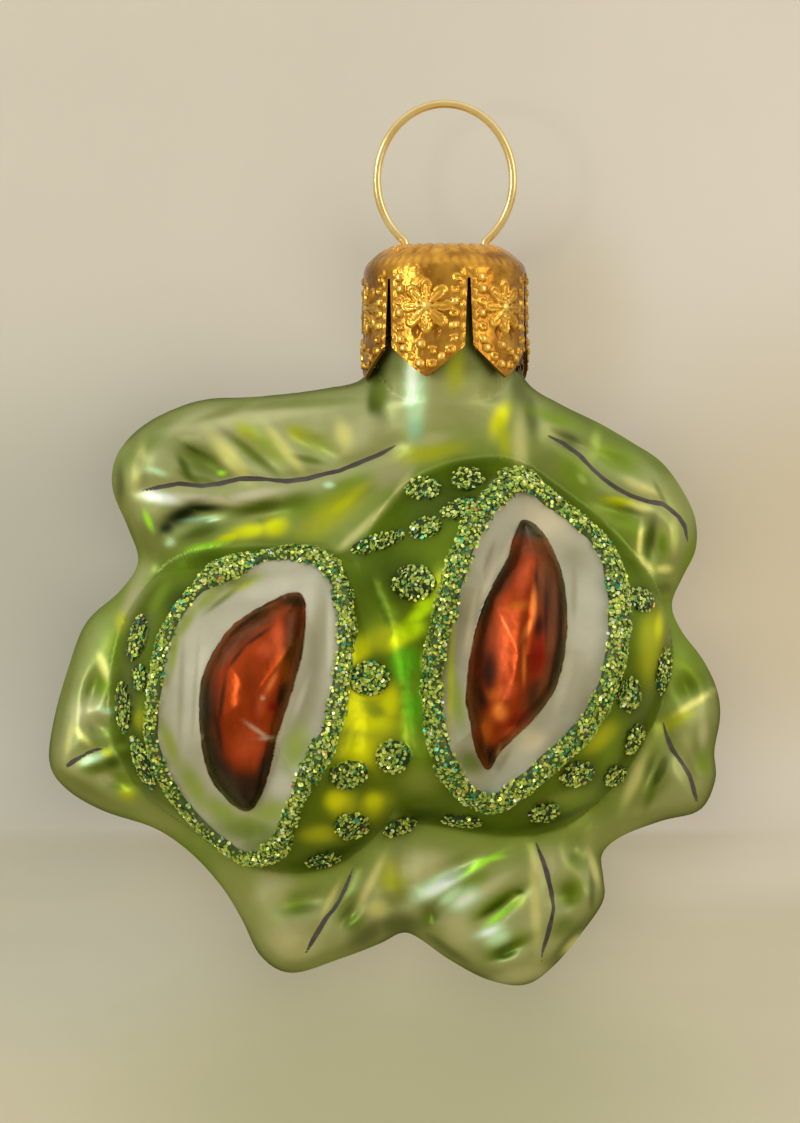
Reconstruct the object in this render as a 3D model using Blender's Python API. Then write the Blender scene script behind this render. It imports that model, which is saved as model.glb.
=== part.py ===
"""Blown-glass ornament: two open chestnut burrs on a rosette of six leaves, with its sheet-metal cap, wire loop
and two rings of glitter. Lengths are in millimetres until a mesh is made. +Z is up, the front faces -Y, and the
inside top of the wire loop is at the origin."""

import math

import bmesh
import bpy
import numpy as np

MM = 0.001

# Driving dimensions
WALL = 1.2  # glass
EDGE = 4.2  # radius of the leaves' rolled edge
NECK = 6.1  # outside radius of the neck
BORE = 4.9
NECK_TOP = -12.9
CAP = 6.9  # outside radius of the cap
SHEET = 0.4
CAP_TOP = -12.0
SLIT_TOP = -14.8
LOBE_SIDE = -20.3  # foot of a lobe's straight side
LOBE_TIP = -23.2
LOBES = 6
FIRST_LOBE = math.radians(-99)
WIRE = 0.35  # radius of the wire
LOOP_WIDE = 5.78  # half axes and centre of the loop's middle line
LOOP_HIGH = 6.47
LOOP_Z = -6.12
LEG_X = 3.35  # where the legs go through the cap
RIM_GAP = 0.34  # from the glass to a glitter ring's underside

CENTRE = (-1.3, -48.6)  # x and z of the point that the rosette is mapped round
PLATE = 4.0  # height at the foot of the husks
DOME_WIDTH = 14.0
RIGHT_DOME = 11.2
LEFT_DOME = 10.4
FIELD_DEPTH = 1.9  # of the white fields below the husks' lips
NUT_RISE = 2.5

# Outline of the rosette seen from the front, clockwise from the neck's right side.
OUTLINE = [
    (5.6, -22.3), (6.6, -23.3), (8.3, -24.4), (10.5, -25.6), (13.2, -26.9), (15.9, -28.5), (18.3, -30.1),
    (20.1, -32.5), (21.2, -35.0), (21.2, -37.6), (20.1, -39.9), (19.2, -42.2), (20.0, -44.4), (21.8, -46.8),
    (23.0, -49.3), (23.3, -51.7), (22.8, -54.6), (22.9, -57.0), (21.6, -59.6), (18.4, -60.5), (15.0, -61.8),
    (13.3, -63.3), (13.4, -65.3), (13.4, -67.3), (11.5, -70.1), (9.2, -72.8), (6.8, -74.4), (3.7, -74.0),
    (0.4, -72.3), (-2.3, -70.4), (-3.7, -70.0), (-5.5, -70.9),
    (-8.9, -72.2), (-13.0, -73.4), (-15.6, -72.0),
    (-17.2, -68.9), (-19.0, -66.0), (-21.7, -63.1), (-24.7, -61.1),
    (-28.9, -59.7), (-32.0, -57.9), (-33.5, -55.7),
    (-33.2, -52.2), (-32.0, -47.8), (-30.4, -43.7), (-27.5, -41.0),
    (-26.0, -38.5), (-26.9, -35.6), (-28.2, -32.3),
    (-27.7, -29.3), (-25.1, -26.7), (-20.8, -24.9), (-16.2, -24.6),
    (-11.5, -24.1), (-8.2, -23.5), (-6.6, -23.0),
    (-5.5, -22.1),
]
# Foot of each husk's dome, the middle of each glitter ring, and the edge of each nut.
RIGHT_HUSK = [
    (2.0, -29.8), (6.2, -30.1), (9.6, -32.3), (13.3, -35.2), (16.7, -39.1), (18.7, -43.4), (18.9, -47.5),
    (17.3, -52.5), (14.4, -57.2), (10.2, -60.7), (5.4, -61.7), (0.4, -61.0), (-3.6, -60.0), (-6.4, -56.5),
    (-6.6, -51.0), (-7.2, -45.1), (-7.8, -39.0), (-5.1, -33.8), (-1.7, -30.9),
]
LEFT_HUSK = [
    (-7.6, -38.1), (-12.2, -37.2), (-17.2, -37.2), (-21.4, -37.8),
    (-24.7, -40.1), (-27.1, -43.9), (-28.2, -49.3),
    (-27.8, -53.9), (-25.6, -57.8), (-21.8, -60.8), (-17.6, -63.7),
    (-13.0, -64.8), (-9.0, -64.0), (-5.4, -61.0),
    (-3.4, -56.5), (-3.4, -50.0), (-4.8, -43.0),
]
RIGHT_RING = [
    (6.3, -31.7), (8.5, -33.4), (11.2, -35.5), (13.3, -37.8), (14.2, -41.3), (14.1, -45.0), (13.2, -48.9),
    (11.4, -52.2), (8.5, -55.0), (5.9, -57.3), (3.7, -58.6), (1.3, -57.3), (-0.4, -54.2), (-1.1, -50.3),
    (-1.0, -46.8), (-0.1, -42.7), (1.0, -38.6), (2.7, -34.9), (4.7, -32.7),
]
LEFT_RING = [
    (-12.1, -38.0), (-9.8, -38.9), (-8.5, -41.7), (-8.3, -45.0),
    (-8.8, -48.5), (-9.5, -52.3), (-11.1, -55.5),
    (-12.7, -58.9), (-14.1, -62.3), (-16.4, -63.3), (-18.9, -61.8),
    (-21.5, -59.2), (-23.4, -56.2), (-24.3, -52.9),
    (-24.0, -49.2), (-23.3, -45.2), (-21.6, -42.1), (-19.1, -39.7), (-15.8, -38.4),
]
RIGHT_NUT = [
    (6.2, -35.2), (7.9, -36.0), (9.3, -38.6), (9.9, -41.7), (9.8, -45.4), (8.9, -49.1), (6.8, -51.9),
    (4.6, -54.0), (3.5, -55.7), (2.6, -54.6), (2.0, -52.1), (1.6, -49.5), (2.2, -45.0), (3.4, -41.3),
    (5.0, -38.3),
]
LEFT_NUT = [
    (-12.7, -41.1), (-11.7, -42.0), (-11.8, -45.4), (-12.7, -49.2),
    (-13.9, -52.9), (-14.7, -56.2), (-15.7, -58.6),
    (-16.9, -59.3), (-18.5, -58.0), (-19.9, -55.6), (-20.4, -51.2),
    (-20.0, -47.7), (-18.0, -44.2), (-15.2, -42.2),
]
# Painted midribs of the front leaves, which lie in shallow grooves.
RIBS = [
    [(-25.6, -32.6), (-21.9, -32.0), (-17.2, -31.7), (-13.1, -32.0), (-8.9, -31.0), (-4.1, -28.9)],
    [(8.4, -28.1), (11.7, -30.3), (14.6, -32.5), (18.0, -33.6), (19.9, -35.7), (20.5, -37.2)],
    [(18.1, -52.0), (18.6, -53.4), (20.5, -55.9), (21.3, -59.2)],
    [(7.5, -62.2), (8.7, -65.3), (8.9, -67.4), (8.4, -69.9), (8.0, -72.1)],
    [(-7.7, -64.3), (-9.0, -66.9), (-10.4, -69.0), (-11.8, -71.3)],
    [(-28.5, -54.0), (-30.2, -54.9), (-32.1, -56.1)],
]
# Soft creases between neighbouring leaves.
CREASES = [
    [(-3.7, -70.0), (-4.2, -61.5)],
    [(13.3, -64.0), (12.0, -58.0)],
    [(19.2, -42.2), (17.0, -43.0)],
    [(-22.0, -62.8), (-20.0, -60.0)],
    [(-26.0, -38.5), (-22.0, -40.0)],
]
# Middle of the ridge along the right nut.
NUT_RIDGE = [(7.0, -37.5), (6.6, -44.0), (5.4, -52.5)]
# Glitter dots and dashes on the husks: x, z, half length, half width, angle in degrees.
DOTS = [
    (-1.9, -32.4, 1.4, 0.9, 0), (1.8, -31.6, 1.3, 0.9, 0), (1.2, -34.1, 1.6, 0.7, 15),
    (-1.8, -35.7, 1.3, 0.8, 20), (-5.7, -36.9, 2.3, 0.6, 18), (-2.7, -40.3, 1.7, 1.4, 0),
    (-6.3, -48.2, 1.6, 1.4, 0), (-4.4, -54.7, 1.4, 1.3, 0), (-8.0, -56.2, 1.5, 1.1, 10),
    (-7.8, -60.6, 1.4, 1.1, 0), (-3.8, -60.9, 1.4, 0.6, 25), (-10.3, -63.6, 1.4, 0.6, 12),
    (16.3, -41.7, 1.2, 0.9, -25), (15.2, -49.6, 1.0, 1.4, 0), (10.9, -56.2, 1.4, 1.0, 15),
    (15.8, -53.5, 0.7, 1.4, -20), (14.2, -56.5, 1.0, 0.8, 35), (8.2, -59.5, 1.3, 0.8, 10),
    (1.3, -60.3, 1.7, 0.5, -5), (18.3, -47.7, 0.6, 1.9, -8), (-25.8, -44.9, 0.7, 1.9, -15),
    (-25.5, -48.2, 0.6, 1.1, 0), (-27.0, -50.7, 0.6, 2.1, 3), (-25.3, -55.4, 0.7, 2.3, 20),
]
# Dimples pressed into the leaves between their veins, in the same form.
DIMPLES = [
    (-20.6, -30.2, 2.9, 1.1, -28), (-15.7, -29.7, 3.2, 1.2, -36), (-11.0, -28.9, 2.6, 1.0, -30),
    (-21.0, -34.9, 2.9, 1.0, 12), (-15.4, -34.6, 2.4, 0.9, 15), (14.2, -30.0, 2.2, 1.2, -25),
    (17.6, -37.2, 1.1, 2.0, 0), (14.8, -34.4, 2.2, 0.9, -20), (10.6, -28.4, 1.9, 0.8, -30),
    (20.5, -49.2, 1.2, 2.0, 25), (17.6, -56.0, 0.8, 2.2, -20), (5.0, -67.4, 2.6, 0.8, 42),
    (5.0, -71.4, 2.0, 0.7, 25), (0.8, -64.3, 2.2, 0.8, 30), (-1.3, -68.3, 0.8, 0.9, 0),
    (10.3, -66.5, 1.2, 1.2, 0), (11.1, -62.7, 1.0, 1.2, 30), (10.3, -69.9, 1.5, 0.7, 40),
    (-11.8, -67.1, 2.2, 1.0, 12), (-8.0, -68.2, 1.5, 0.7, 50), (-29.7, -49.3, 0.8, 1.9, -15),
    (-29.3, -52.4, 1.2, 0.9, -30), (-27.7, -57.0, 1.5, 1.0, -20),
]
LEAF_TIPS = [
    (-28.2, -31.0), (-33.4, -55.9), (-13.2, -73.2), (6.4, -74.3), (22.6, -58.4), (21.2, -36.5),
]

def smooth_loop(points, steps):
    """A closed Catmull-Rom curve through the points."""
    b = np.array(points, float)
    a = np.roll(b, 1, 0)
    c = np.roll(b, -1, 0)
    d = np.roll(b, -2, 0)
    rows = []
    for t in np.arange(steps) / steps:
        square = (2 * a - 5 * b + 4 * c - d) * t**2
        cube = (3 * b - a - 3 * c + d) * t**3
        rows.append(0.5 * (2 * b + (c - a) * t + square + cube))
    return np.stack(rows, 1).reshape(-1, 2)


def from_line(x, z, line, closed=False):
    """Distance of each point from a line, and whether it lies inside the line when that is closed."""
    starts = np.array(line, float)
    ends = np.roll(starts, -1, 0)
    if not closed:
        starts, ends = starts[:-1], ends[:-1]
    nearest = np.full(x.shape, 1e9)
    inside = np.zeros(x.shape, bool)
    for (ax, az), (bx, bz) in zip(starts, ends):
        ex, ez = bx - ax, bz - az
        t = np.clip(((x - ax) * ex + (z - az) * ez) / (ex * ex + ez * ez), 0, 1)
        nearest = np.minimum(nearest, np.hypot(x - ax - t * ex, z - az - t * ez))
        if az != bz:
            inside ^= ((az > z) != (bz > z)) & (x < ax + (z - az) * ex / ez)
    return nearest, inside


def depth_inside(x, z, loop):
    """Distance inside a closed curve, negative outside."""
    distance, inside = from_line(x, z, loop, closed=True)
    return np.where(inside, distance, -distance)


def groove(x, z, line, width):
    """1 along the middle of a line, falling to 0 at its sides."""
    return np.exp(-((from_line(x, z, line)[0] / width) ** 2))


def blend(a, b, k):
    """The larger of the two, rounded where they meet."""
    return np.maximum(a, b) + np.maximum(k - np.abs(a - b), 0) ** 2 / (4 * k)


def mound(depth, width, power):
    """A rounded profile from 0 at the rim to 1 at the width."""
    u = np.clip(depth / width, 0, 1)
    return (1 - (1 - u) ** 2) ** power


def ellipse(x, z, spot):
    """0 at a spot's middle and 1 at its edge."""
    middle_x, middle_z, length, width, angle = spot
    c = math.cos(math.radians(angle))
    s = math.sin(math.radians(angle))
    along = (x - middle_x) * c + (z - middle_z) * s
    across = (z - middle_z) * c - (x - middle_x) * s
    return (along / length) ** 2 + (across / width) ** 2


OUTLINE = smooth_loop(OUTLINE, 4)
RIGHT_HUSK = smooth_loop(RIGHT_HUSK, 6)
LEFT_HUSK = smooth_loop(LEFT_HUSK, 6)
RIGHT_RING = smooth_loop(RIGHT_RING, 4)
LEFT_RING = smooth_loop(LEFT_RING, 4)
RIGHT_NUT = smooth_loop(RIGHT_NUT, 6)
LEFT_NUT = smooth_loop(LEFT_NUT, 6)
HUSKS = (
    (RIGHT_HUSK, RIGHT_RING, RIGHT_NUT, RIGHT_DOME),
    (LEFT_HUSK, LEFT_RING, LEFT_NUT, LEFT_DOME),
)


def leaves(x, z, inset):
    """Half thickness of the rosette, its edge rolled and the neck running into it, and the depth inside."""
    depth = depth_inside(x, z, OUTLINE) - inset
    edge = EDGE - inset
    height = edge * mound(depth, edge, 0.5) + 0.07 * np.clip(depth - edge, 0, 12)
    neck = np.sqrt(np.clip((NECK - 0.1 - inset) ** 2 - x**2, 0, None)) * np.clip(1.92 + z / 26, 0, 1)
    return blend(height, np.where(depth > 0, neck * np.clip(depth / 3, 0, 1), 0), 1.6), depth


def front(x, z, inset=0.0):
    """Height of the glass towards the viewer. The inside of the wall leaves out the small relief."""
    height, depth = leaves(x, z, inset)
    husks = np.zeros_like(x)
    for husk, ring, nut, top in HUSKS:
        foot = depth_inside(x, z, husk) - 0.6 * inset
        dome = PLATE + top * mound(foot, DOME_WIDTH, 0.78) - inset
        dome -= FIELD_DEPTH * mound(depth_inside(x, z, ring) - 0.4, 3.4, 1.0)
        dome += NUT_RISE * mound(depth_inside(x, z, nut), 3.8, 0.62)
        husks = blend(husks, np.where(foot > 0, dome, 0), 1.4)
    if inset:
        return blend(height, husks, 1.0)
    relief = np.zeros_like(x)
    for spot in DIMPLES:
        relief -= 0.55 * np.exp(-1.1 * ellipse(x, z, spot))
    for line in RIBS:
        relief -= 0.35 * groove(x, z, line, 0.7)
    for line in CREASES:
        relief -= 0.9 * groove(x, z, line, 1.5)
    height += relief * np.clip(depth / 2.5, 0, 1)
    husks += 0.5 * groove(x, z, NUT_RIDGE, 1.1)
    glitter = np.zeros_like(x)
    for spot in DOTS:
        glitter = np.maximum(glitter, 0.5 * mound(1 - ellipse(x, z, spot), 1.0, 0.6))
    return blend(height, husks, 1.0) + glitter


def back(x, z, inset=0.0):
    """Height of the glass away from the viewer: the same leaves over a low dome."""
    height, depth = leaves(x, z, inset)
    away = np.hypot((x + 4.0) / 21.0, (z + 49.0) / 18.5)
    dome = 6.2 * np.clip(1 - away**2, 0, 1) ** 1.3
    if inset:
        return height + dome
    relief = np.zeros_like(x)
    for tip_x, tip_z in LEAF_TIPS:
        reach_x, reach_z = tip_x + 4.5, tip_z + 49.5
        length = math.hypot(reach_x, reach_z)
        along = ((x + 4.5) * reach_x + (z + 49.5) * reach_z) / length
        across = np.abs((z + 49.5) * reach_x - (x + 4.5) * reach_z) / length
        leaf = np.clip((along - 5) / 4, 0, 1) * np.clip((length - along) / 3, 0, 1)
        leaf *= np.clip(1 - across / 8, 0, 1)
        veins = np.clip(across / 1.5, 0, 1) * np.cos(2 * math.pi * (along - 0.75 * across) / 4.4)
        relief += leaf * (0.28 * veins - 0.5 * np.exp(-((across / 0.8) ** 2)))
    return height + relief * np.clip(depth / 2.5, 0, 1) + dome


def new_object(name, points, faces):
    """A closed mesh from points in millimetres, its faces turned outwards."""
    mesh = bpy.data.meshes.new(name)
    mesh.from_pydata((np.asarray(points) * MM).tolist(), [], faces)
    thing = bpy.data.objects.new(name, mesh)
    bpy.context.collection.objects.link(thing)
    turned = bmesh.new()
    turned.from_mesh(mesh)
    bmesh.ops.recalc_face_normals(turned, faces=turned.faces[:])
    if turned.calc_volume(signed=True) < 0:
        bmesh.ops.reverse_faces(turned, faces=turned.faces[:])
    turned.to_mesh(mesh)
    turned.free()
    return thing


def apply_all(thing):
    bpy.ops.object.select_all(action="DESELECT")
    thing.select_set(True)
    bpy.context.view_layer.objects.active = thing
    for modifier in list(thing.modifiers):
        bpy.ops.object.modifier_apply(modifier=modifier.name)


def combine(thing, other, operation, solver="EXACT"):
    """A Boolean of the two, applied, and the second one removed."""
    boolean = thing.modifiers.new("Boolean", "BOOLEAN")
    boolean.operation = operation
    boolean.solver = solver
    boolean.object = other
    apply_all(thing)
    bpy.data.objects.remove(other)


def decimate(thing, triangles):
    fewer = thing.modifiers.new("Decimate", "DECIMATE")
    fewer.ratio = triangles / len(thing.data.polygons)
    apply_all(thing)


def finish(thing, colour, metallic, roughness):
    """Smooth shading and the piece's own material."""
    thing.data.shade_smooth()
    thing.data.set_sharp_from_angle(angle=math.radians(40))
    material = bpy.data.materials.new(thing.name)
    material.use_nodes = True
    surface = material.node_tree.nodes["Principled BSDF"]
    surface.inputs["Base Color"].default_value = (*colour, 1.0)
    surface.inputs["Metallic"].default_value = metallic
    surface.inputs["Roughness"].default_value = roughness
    thing.data.materials.clear()
    thing.data.materials.append(material)


def bubble(name, level, inset):
    """A sphere blown into the mould: its equator goes to the outline, its halves to the front and the back."""
    ball = bmesh.new()
    bmesh.ops.create_icosphere(ball, subdivisions=level, radius=1.0)
    direction = np.array([vertex.co for vertex in ball.verts])
    faces = [[vertex.index for vertex in face.verts] for face in ball.faces]
    ball.free()
    centre_x, centre_z = CENTRE
    angles = np.radians(np.arange(-180, 180.5, 0.5))
    radii = np.linspace(0, 42, 421)
    reach = []
    for angle in angles:
        depth = depth_inside(centre_x + radii * math.cos(angle), centre_z + radii * math.sin(angle), OUTLINE)
        first = np.argmax(depth < inset)
        ends = slice(first - 1, first + 1)
        reach.append(np.interp(0, inset - depth[ends], radii[ends]))
    around = np.arctan2(direction[:, 2], direction[:, 0])
    edge = EDGE - inset
    flat = np.interp(around, angles, reach) - edge
    run = np.arccos(np.clip(np.abs(direction[:, 1]), 0, 1)) * (flat * 2 / math.pi + edge)
    rolled = flat + edge * np.sin(np.clip((run - flat) / edge, 0, math.pi / 2))
    radius = np.where(run < flat, run, rolled)
    x = centre_x + radius * np.cos(around)
    z = centre_z + radius * np.sin(around)
    y = np.where(direction[:, 1] <= 0, -front(x, z, inset), back(x, z, inset))
    return new_object(name, np.stack([x, y, z], 1), faces)


def lathe(name, profile, segments, x=0.0, waves=0, wave=0.0):
    """A profile of (radius, z) points, its ends on the axis, turned round the z axis, with a scalloped crest."""
    angles = np.arange(segments) * 2 * math.pi / segments
    points = [(x, 0.0, profile[0][1])]
    for radius, z in profile[1:-1]:
        crest = 1 + (wave * np.cos(waves * angles) if radius > NECK and z > SLIT_TOP + 0.5 else 0 * angles)
        for angle, swell in zip(angles, crest):
            points.append((x + radius * swell * math.cos(angle), radius * swell * math.sin(angle), z))
    points.append((x, 0.0, profile[-1][1]))
    faces = []
    rows = len(profile) - 2
    for i in range(segments):
        j = (i + 1) % segments
        faces.append([0, 1 + i, 1 + j])
        for row in range(rows - 1):
            first = 1 + row * segments
            faces.append([first + i, first + j, first + segments + j, first + segments + i])
        last = 1 + (rows - 1) * segments
        faces.append([last + i, last + j, len(points) - 1])
    return new_object(name, points, faces)


def tube(name, path, across, up, shape):
    """A solid round a closed path, its cross-section a list of (across, up) points."""
    count, sides = len(path), len(shape)
    points = [path[i] + a * across[i] + b * up[i] for i in range(count) for a, b in shape]
    faces = []
    for i in range(count):
        j = (i + 1) % count
        for k in range(sides):
            l = (k + 1) % sides
            faces.append([i * sides + k, i * sides + l, j * sides + l, j * sides + k])
    return new_object(name, points, faces)


def make_glass():
    """The blown shell joined to its neck, with the inside and the neck's bore taken away."""
    glass = bubble("glass_body", 7, 0.0)
    decimate(glass, 7400)
    neck_profile = [
        (0, NECK_TOP), (5.1, NECK_TOP), (NECK - 0.4, NECK_TOP - 0.55), (NECK, NECK_TOP - 1.0), (NECK, -18.0),
        (NECK - 0.05, -22.4), (NECK - 0.3, -24.5), (NECK - 0.9, -27.0), (NECK - 1.7, -30.0), (0, -31.0),
    ]
    combine(glass, lathe("neck", neck_profile, 40), "UNION")
    hollow = bubble("hollow", 5, WALL)
    decimate(hollow, 1500)
    bore_profile = [
        (0, -10.0), (BORE, -10.0), (BORE, -22.5), (BORE - 0.1, -25.0), (BORE - 0.5, -27.0), (BORE - 1.1, -31.0),
        (0, -32.0),
    ]
    combine(hollow, lathe("bore", bore_profile, 28), "UNION")
    combine(glass, hollow, "DIFFERENCE")
    finish(glass, (0.32, 0.4, 0.08), 0.6, 0.3)


def slit_cutter(angle):
    """A slit between two lobes that opens into the notch between their points."""
    out = np.array([math.cos(angle), math.sin(angle), 0.0])
    side = np.array([-out[1], out[0], 0.0])
    half = [(0.16, SLIT_TOP), (0.34, LOBE_SIDE), (CAP / 2, LOBE_TIP + 0.2), (CAP / 2, LOBE_TIP - 1.3)]
    shape = half + [(-across, z) for across, z in reversed(half)]
    points = [out * radius + side * across + (0, 0, z) for radius in (5.4, 8.2) for across, z in shape]
    count = len(shape)
    faces = [[k, (k + 1) % count, count + (k + 1) % count, count + k] for k in range(count)]
    faces += [list(range(count)), list(range(count, 2 * count))]
    return new_object("slit", points, faces)


def boss(points, faces, place, along, length, width, height):
    """Adds a low faceted boss on the cap's side, rooted in the sheet."""
    out = np.array([place[0], place[1], 0.0]) / math.hypot(place[0], place[1])
    level = np.cross(out, along)
    first = len(points)
    for angle in np.radians(np.arange(0, 360, 60)):
        points.append(place + along * length * math.cos(angle) + level * width * math.sin(angle) - out * 0.25)
    points.append(place + out * height)
    faces += [[first + k, first + (k + 1) % 6, first + 6] for k in range(6)]
    faces.append([first + k for k in range(6)])


def emboss(middle, points, faces):
    """The beaded border and the eight-petalled star of one lobe."""
    upright = np.array([0.0, 0.0, 1.0])
    spots = [(across, z) for across in (-2.45, 2.45) for z in np.linspace(-15.6, -20.2, 5)]
    spots += [(across, -22.3 + 0.75 * abs(across)) for across in (-1.6, -0.8, 0.0, 0.8, 1.6)]
    for across, z in spots:
        angle = middle + across / CAP
        place = np.array([CAP * math.cos(angle), CAP * math.sin(angle), z])
        boss(points, faces, place, upright, 0.3, 0.3, 0.22)
    for turn in np.arange(8) * math.pi / 4:
        angle = middle + 1.2 * math.sin(turn) / CAP
        place = np.array([CAP * math.cos(angle), CAP * math.sin(angle), -17.3 + 1.2 * math.cos(turn)])
        level = np.array([-math.sin(angle), math.cos(angle), 0.0])
        boss(points, faces, place, level * math.sin(turn) + upright * math.cos(turn), 0.65, 0.25, 0.2)


def make_cap():
    """Thin sheet with a scalloped crest, pointed lobes, two holes for the wire, and embossed stars and beads."""
    inner = CAP - SHEET
    outside = [
        (0, CAP_TOP), (3.2, CAP_TOP), (4.2, CAP_TOP + 0.05), (5.1, CAP_TOP - 0.15), (6.2, CAP_TOP - 0.75),
        (CAP - 0.15, CAP_TOP - 1.3), (CAP, CAP_TOP - 1.9), (CAP, -15.4), (CAP, -18.0), (CAP, LOBE_TIP),
    ]
    inside = [
        (inner, LOBE_TIP), (inner, -18.0), (inner, -15.4), (inner, CAP_TOP - 2.0), (inner - 0.25, CAP_TOP - 1.5),
        (5.9, CAP_TOP - 1.05), (4.9, CAP_TOP - 0.5), (4.2, CAP_TOP - SHEET), (0, CAP_TOP - SHEET),
    ]
    cap = lathe("cap", outside + inside, 72, waves=24, wave=0.012)
    spacing = 2 * math.pi / LOBES
    for i in range(LOBES):
        combine(cap, slit_cutter(FIRST_LOBE + (i + 0.5) * spacing), "DIFFERENCE")
    for x in (-LEG_X, LEG_X):
        hole = [(0, -10.0), (WIRE + 0.31, -10.0), (WIRE + 0.31, -14.0), (0, -14.0)]
        combine(cap, lathe("hole", hole, 12, x=x), "DIFFERENCE")
    points, faces = [], []
    for i in range(LOBES):
        emboss(FIRST_LOBE + i * spacing, points, faces)
    # The exact solver leaves faulty edges where this many small bosses meet the sheet.
    combine(cap, new_object("bosses", points, faces), "UNION", "MANIFOLD")
    finish(cap, (0.78, 0.5, 0.14), 1.0, 0.25)


def make_wire():
    """A loop with two legs that go through the cap's top and spread in the hollow."""
    leg = [
        (LEG_X - 0.05, -11.9), (LEG_X, -12.6), (3.6, -14.5), (3.95, -17.5), (4.15, -20.0), (4.3, -24.0),
        (4.75, -27.0), (5.4, -30.0),
    ]
    loop = [
        (LOOP_WIDE * math.cos(angle), LOOP_Z + LOOP_HIGH * math.sin(angle))
        for angle in np.radians(np.linspace(-53.5, 233.5, 33))
    ]
    path = leg[::-1] + loop + [(-x, z) for x, z in leg]
    curve = bpy.data.curves.new("wire_hanger", "CURVE")
    curve.dimensions = "3D"
    curve.bevel_depth = WIRE * MM
    curve.bevel_resolution = 2
    curve.use_fill_caps = True
    spline = curve.splines.new("POLY")
    spline.points.add(len(path) - 1)
    for point, (x, z) in zip(spline.points, path):
        point.co = (x * MM, 0, z * MM, 1)
    guide = bpy.data.objects.new("wire_hanger", curve)
    bpy.context.collection.objects.link(guide)
    bpy.ops.object.select_all(action="DESELECT")
    guide.select_set(True)
    bpy.context.view_layer.objects.active = guide
    bpy.ops.object.convert(target="MESH")
    finish(bpy.context.object, (0.8, 0.58, 0.24), 1.0, 0.2)


def make_ring(name, ring, wide):
    """A domed band of glue and glitter laid on the husk round an opening, a hair above the glass."""
    x, z = ring[:, 0], ring[:, 1]
    reach = 0.6
    path = np.stack([x, -front(x, z), z], 1)
    slope_x = (front(x + reach, z) - front(x - reach, z)) / (2 * reach)
    slope_z = (front(x, z + reach) - front(x, z - reach)) / (2 * reach)
    normal = np.stack([-slope_x, -np.ones_like(x), -slope_z], 1)
    normal /= np.linalg.norm(normal, axis=1)[:, None]
    run = np.roll(path, -1, 0) - np.roll(path, 1, 0)
    across = np.cross(run, normal)
    across /= np.linalg.norm(across, axis=1)[:, None]
    side = [(wide, RIM_GAP + 0.08), (0.86 * wide, RIM_GAP + 0.4), (0.43 * wide, RIM_GAP + 0.66)]
    shape = [(0.0, RIM_GAP)] + side + [(-a, b) for a, b in reversed(side)]
    finish(tube(name, path, across, normal, shape), (0.36, 0.42, 0.14), 0.5, 0.4)


for leftover in list(bpy.data.objects):
    bpy.data.objects.remove(leftover)
make_glass()
make_cap()
make_wire()
make_ring("glitter_ring_left", LEFT_RING, 1.05)
make_ring("glitter_ring_right", RIGHT_RING, 1.15)
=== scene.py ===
import math

import bpy
import numpy as np
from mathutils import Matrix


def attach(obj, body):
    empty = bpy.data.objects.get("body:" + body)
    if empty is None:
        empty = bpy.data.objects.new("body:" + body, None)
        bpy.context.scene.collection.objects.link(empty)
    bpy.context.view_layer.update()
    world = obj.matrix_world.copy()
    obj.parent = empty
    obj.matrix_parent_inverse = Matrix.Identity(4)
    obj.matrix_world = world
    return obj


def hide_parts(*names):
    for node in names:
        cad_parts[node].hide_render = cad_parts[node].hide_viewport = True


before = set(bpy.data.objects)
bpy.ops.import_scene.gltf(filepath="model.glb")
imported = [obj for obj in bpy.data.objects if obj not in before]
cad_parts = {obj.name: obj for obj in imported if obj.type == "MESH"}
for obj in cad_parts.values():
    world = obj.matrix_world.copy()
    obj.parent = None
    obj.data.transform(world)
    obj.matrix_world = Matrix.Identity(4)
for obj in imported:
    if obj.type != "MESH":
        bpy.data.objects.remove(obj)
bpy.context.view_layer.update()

# The photographer's view.
# The ornament was photographed from straight ahead, from about 38 cm, with a long lens. One pixel of the
# 800 by 1123 picture is 0.085 mm at the ornament's middle plane, and the wire loop's top is at pixel 445,
# 108.
PIXEL = 0.085e-3
PICTURE_WIDTH = 800
PICTURE_HEIGHT = 1123
LOOP_TOP = (445, 108)
CAMERA_DISTANCE = 0.38
SENSOR = 36.0
camera_data = bpy.data.cameras.new("camera")
camera_data.sensor_fit = "VERTICAL"
camera_data.sensor_height = SENSOR
camera_data.lens = SENSOR * CAMERA_DISTANCE / (PICTURE_HEIGHT * PIXEL)
camera_data.clip_start = 0.01
camera_data.clip_end = 10.0
camera = bpy.data.objects.new("camera", camera_data)
camera.location = (
    (PICTURE_WIDTH / 2 - LOOP_TOP[0]) * PIXEL, -CAMERA_DISTANCE, (LOOP_TOP[1] - PICTURE_HEIGHT / 2) * PIXEL,
)
camera.rotation_euler = (math.radians(90), 0.0, 0.0)
bpy.context.collection.objects.link(camera)
bpy.context.scene.camera = camera


# The blown-glass body.
# One hollow piece of glass, blown into a two-part mould and silvered inside: six leaf lobes, two husks with
# sunken fields, two nuts and an open neck. A sphere of even mesh is blown into the same form here.
MM = 0.001
EDGE = 4.2
EDGE_FADE = 2.5
PLATE_SLOPE = 0.07
NECK = 6.1
NECK_BLEND = 1.6
PLATE = 4.0
DOME_WIDTH = 14.0
RIGHT_DOME = 11.2
LEFT_DOME = 10.4
HUSK_BLEND = 3.4
FIELD_DEPTH = 1.9
FIELD_WIDTH = 3.4
NUT_RISE = 2.5
NUT_WIDTH = 3.8
DOT_RISE = 0.4
DIMPLE_DEPTH = 0.95
DIMPLE_LIP = 0.22
CENTRE_X = -1.3
CENTRE_Z = -48.6
FINE_FROM = -0.16
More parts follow.
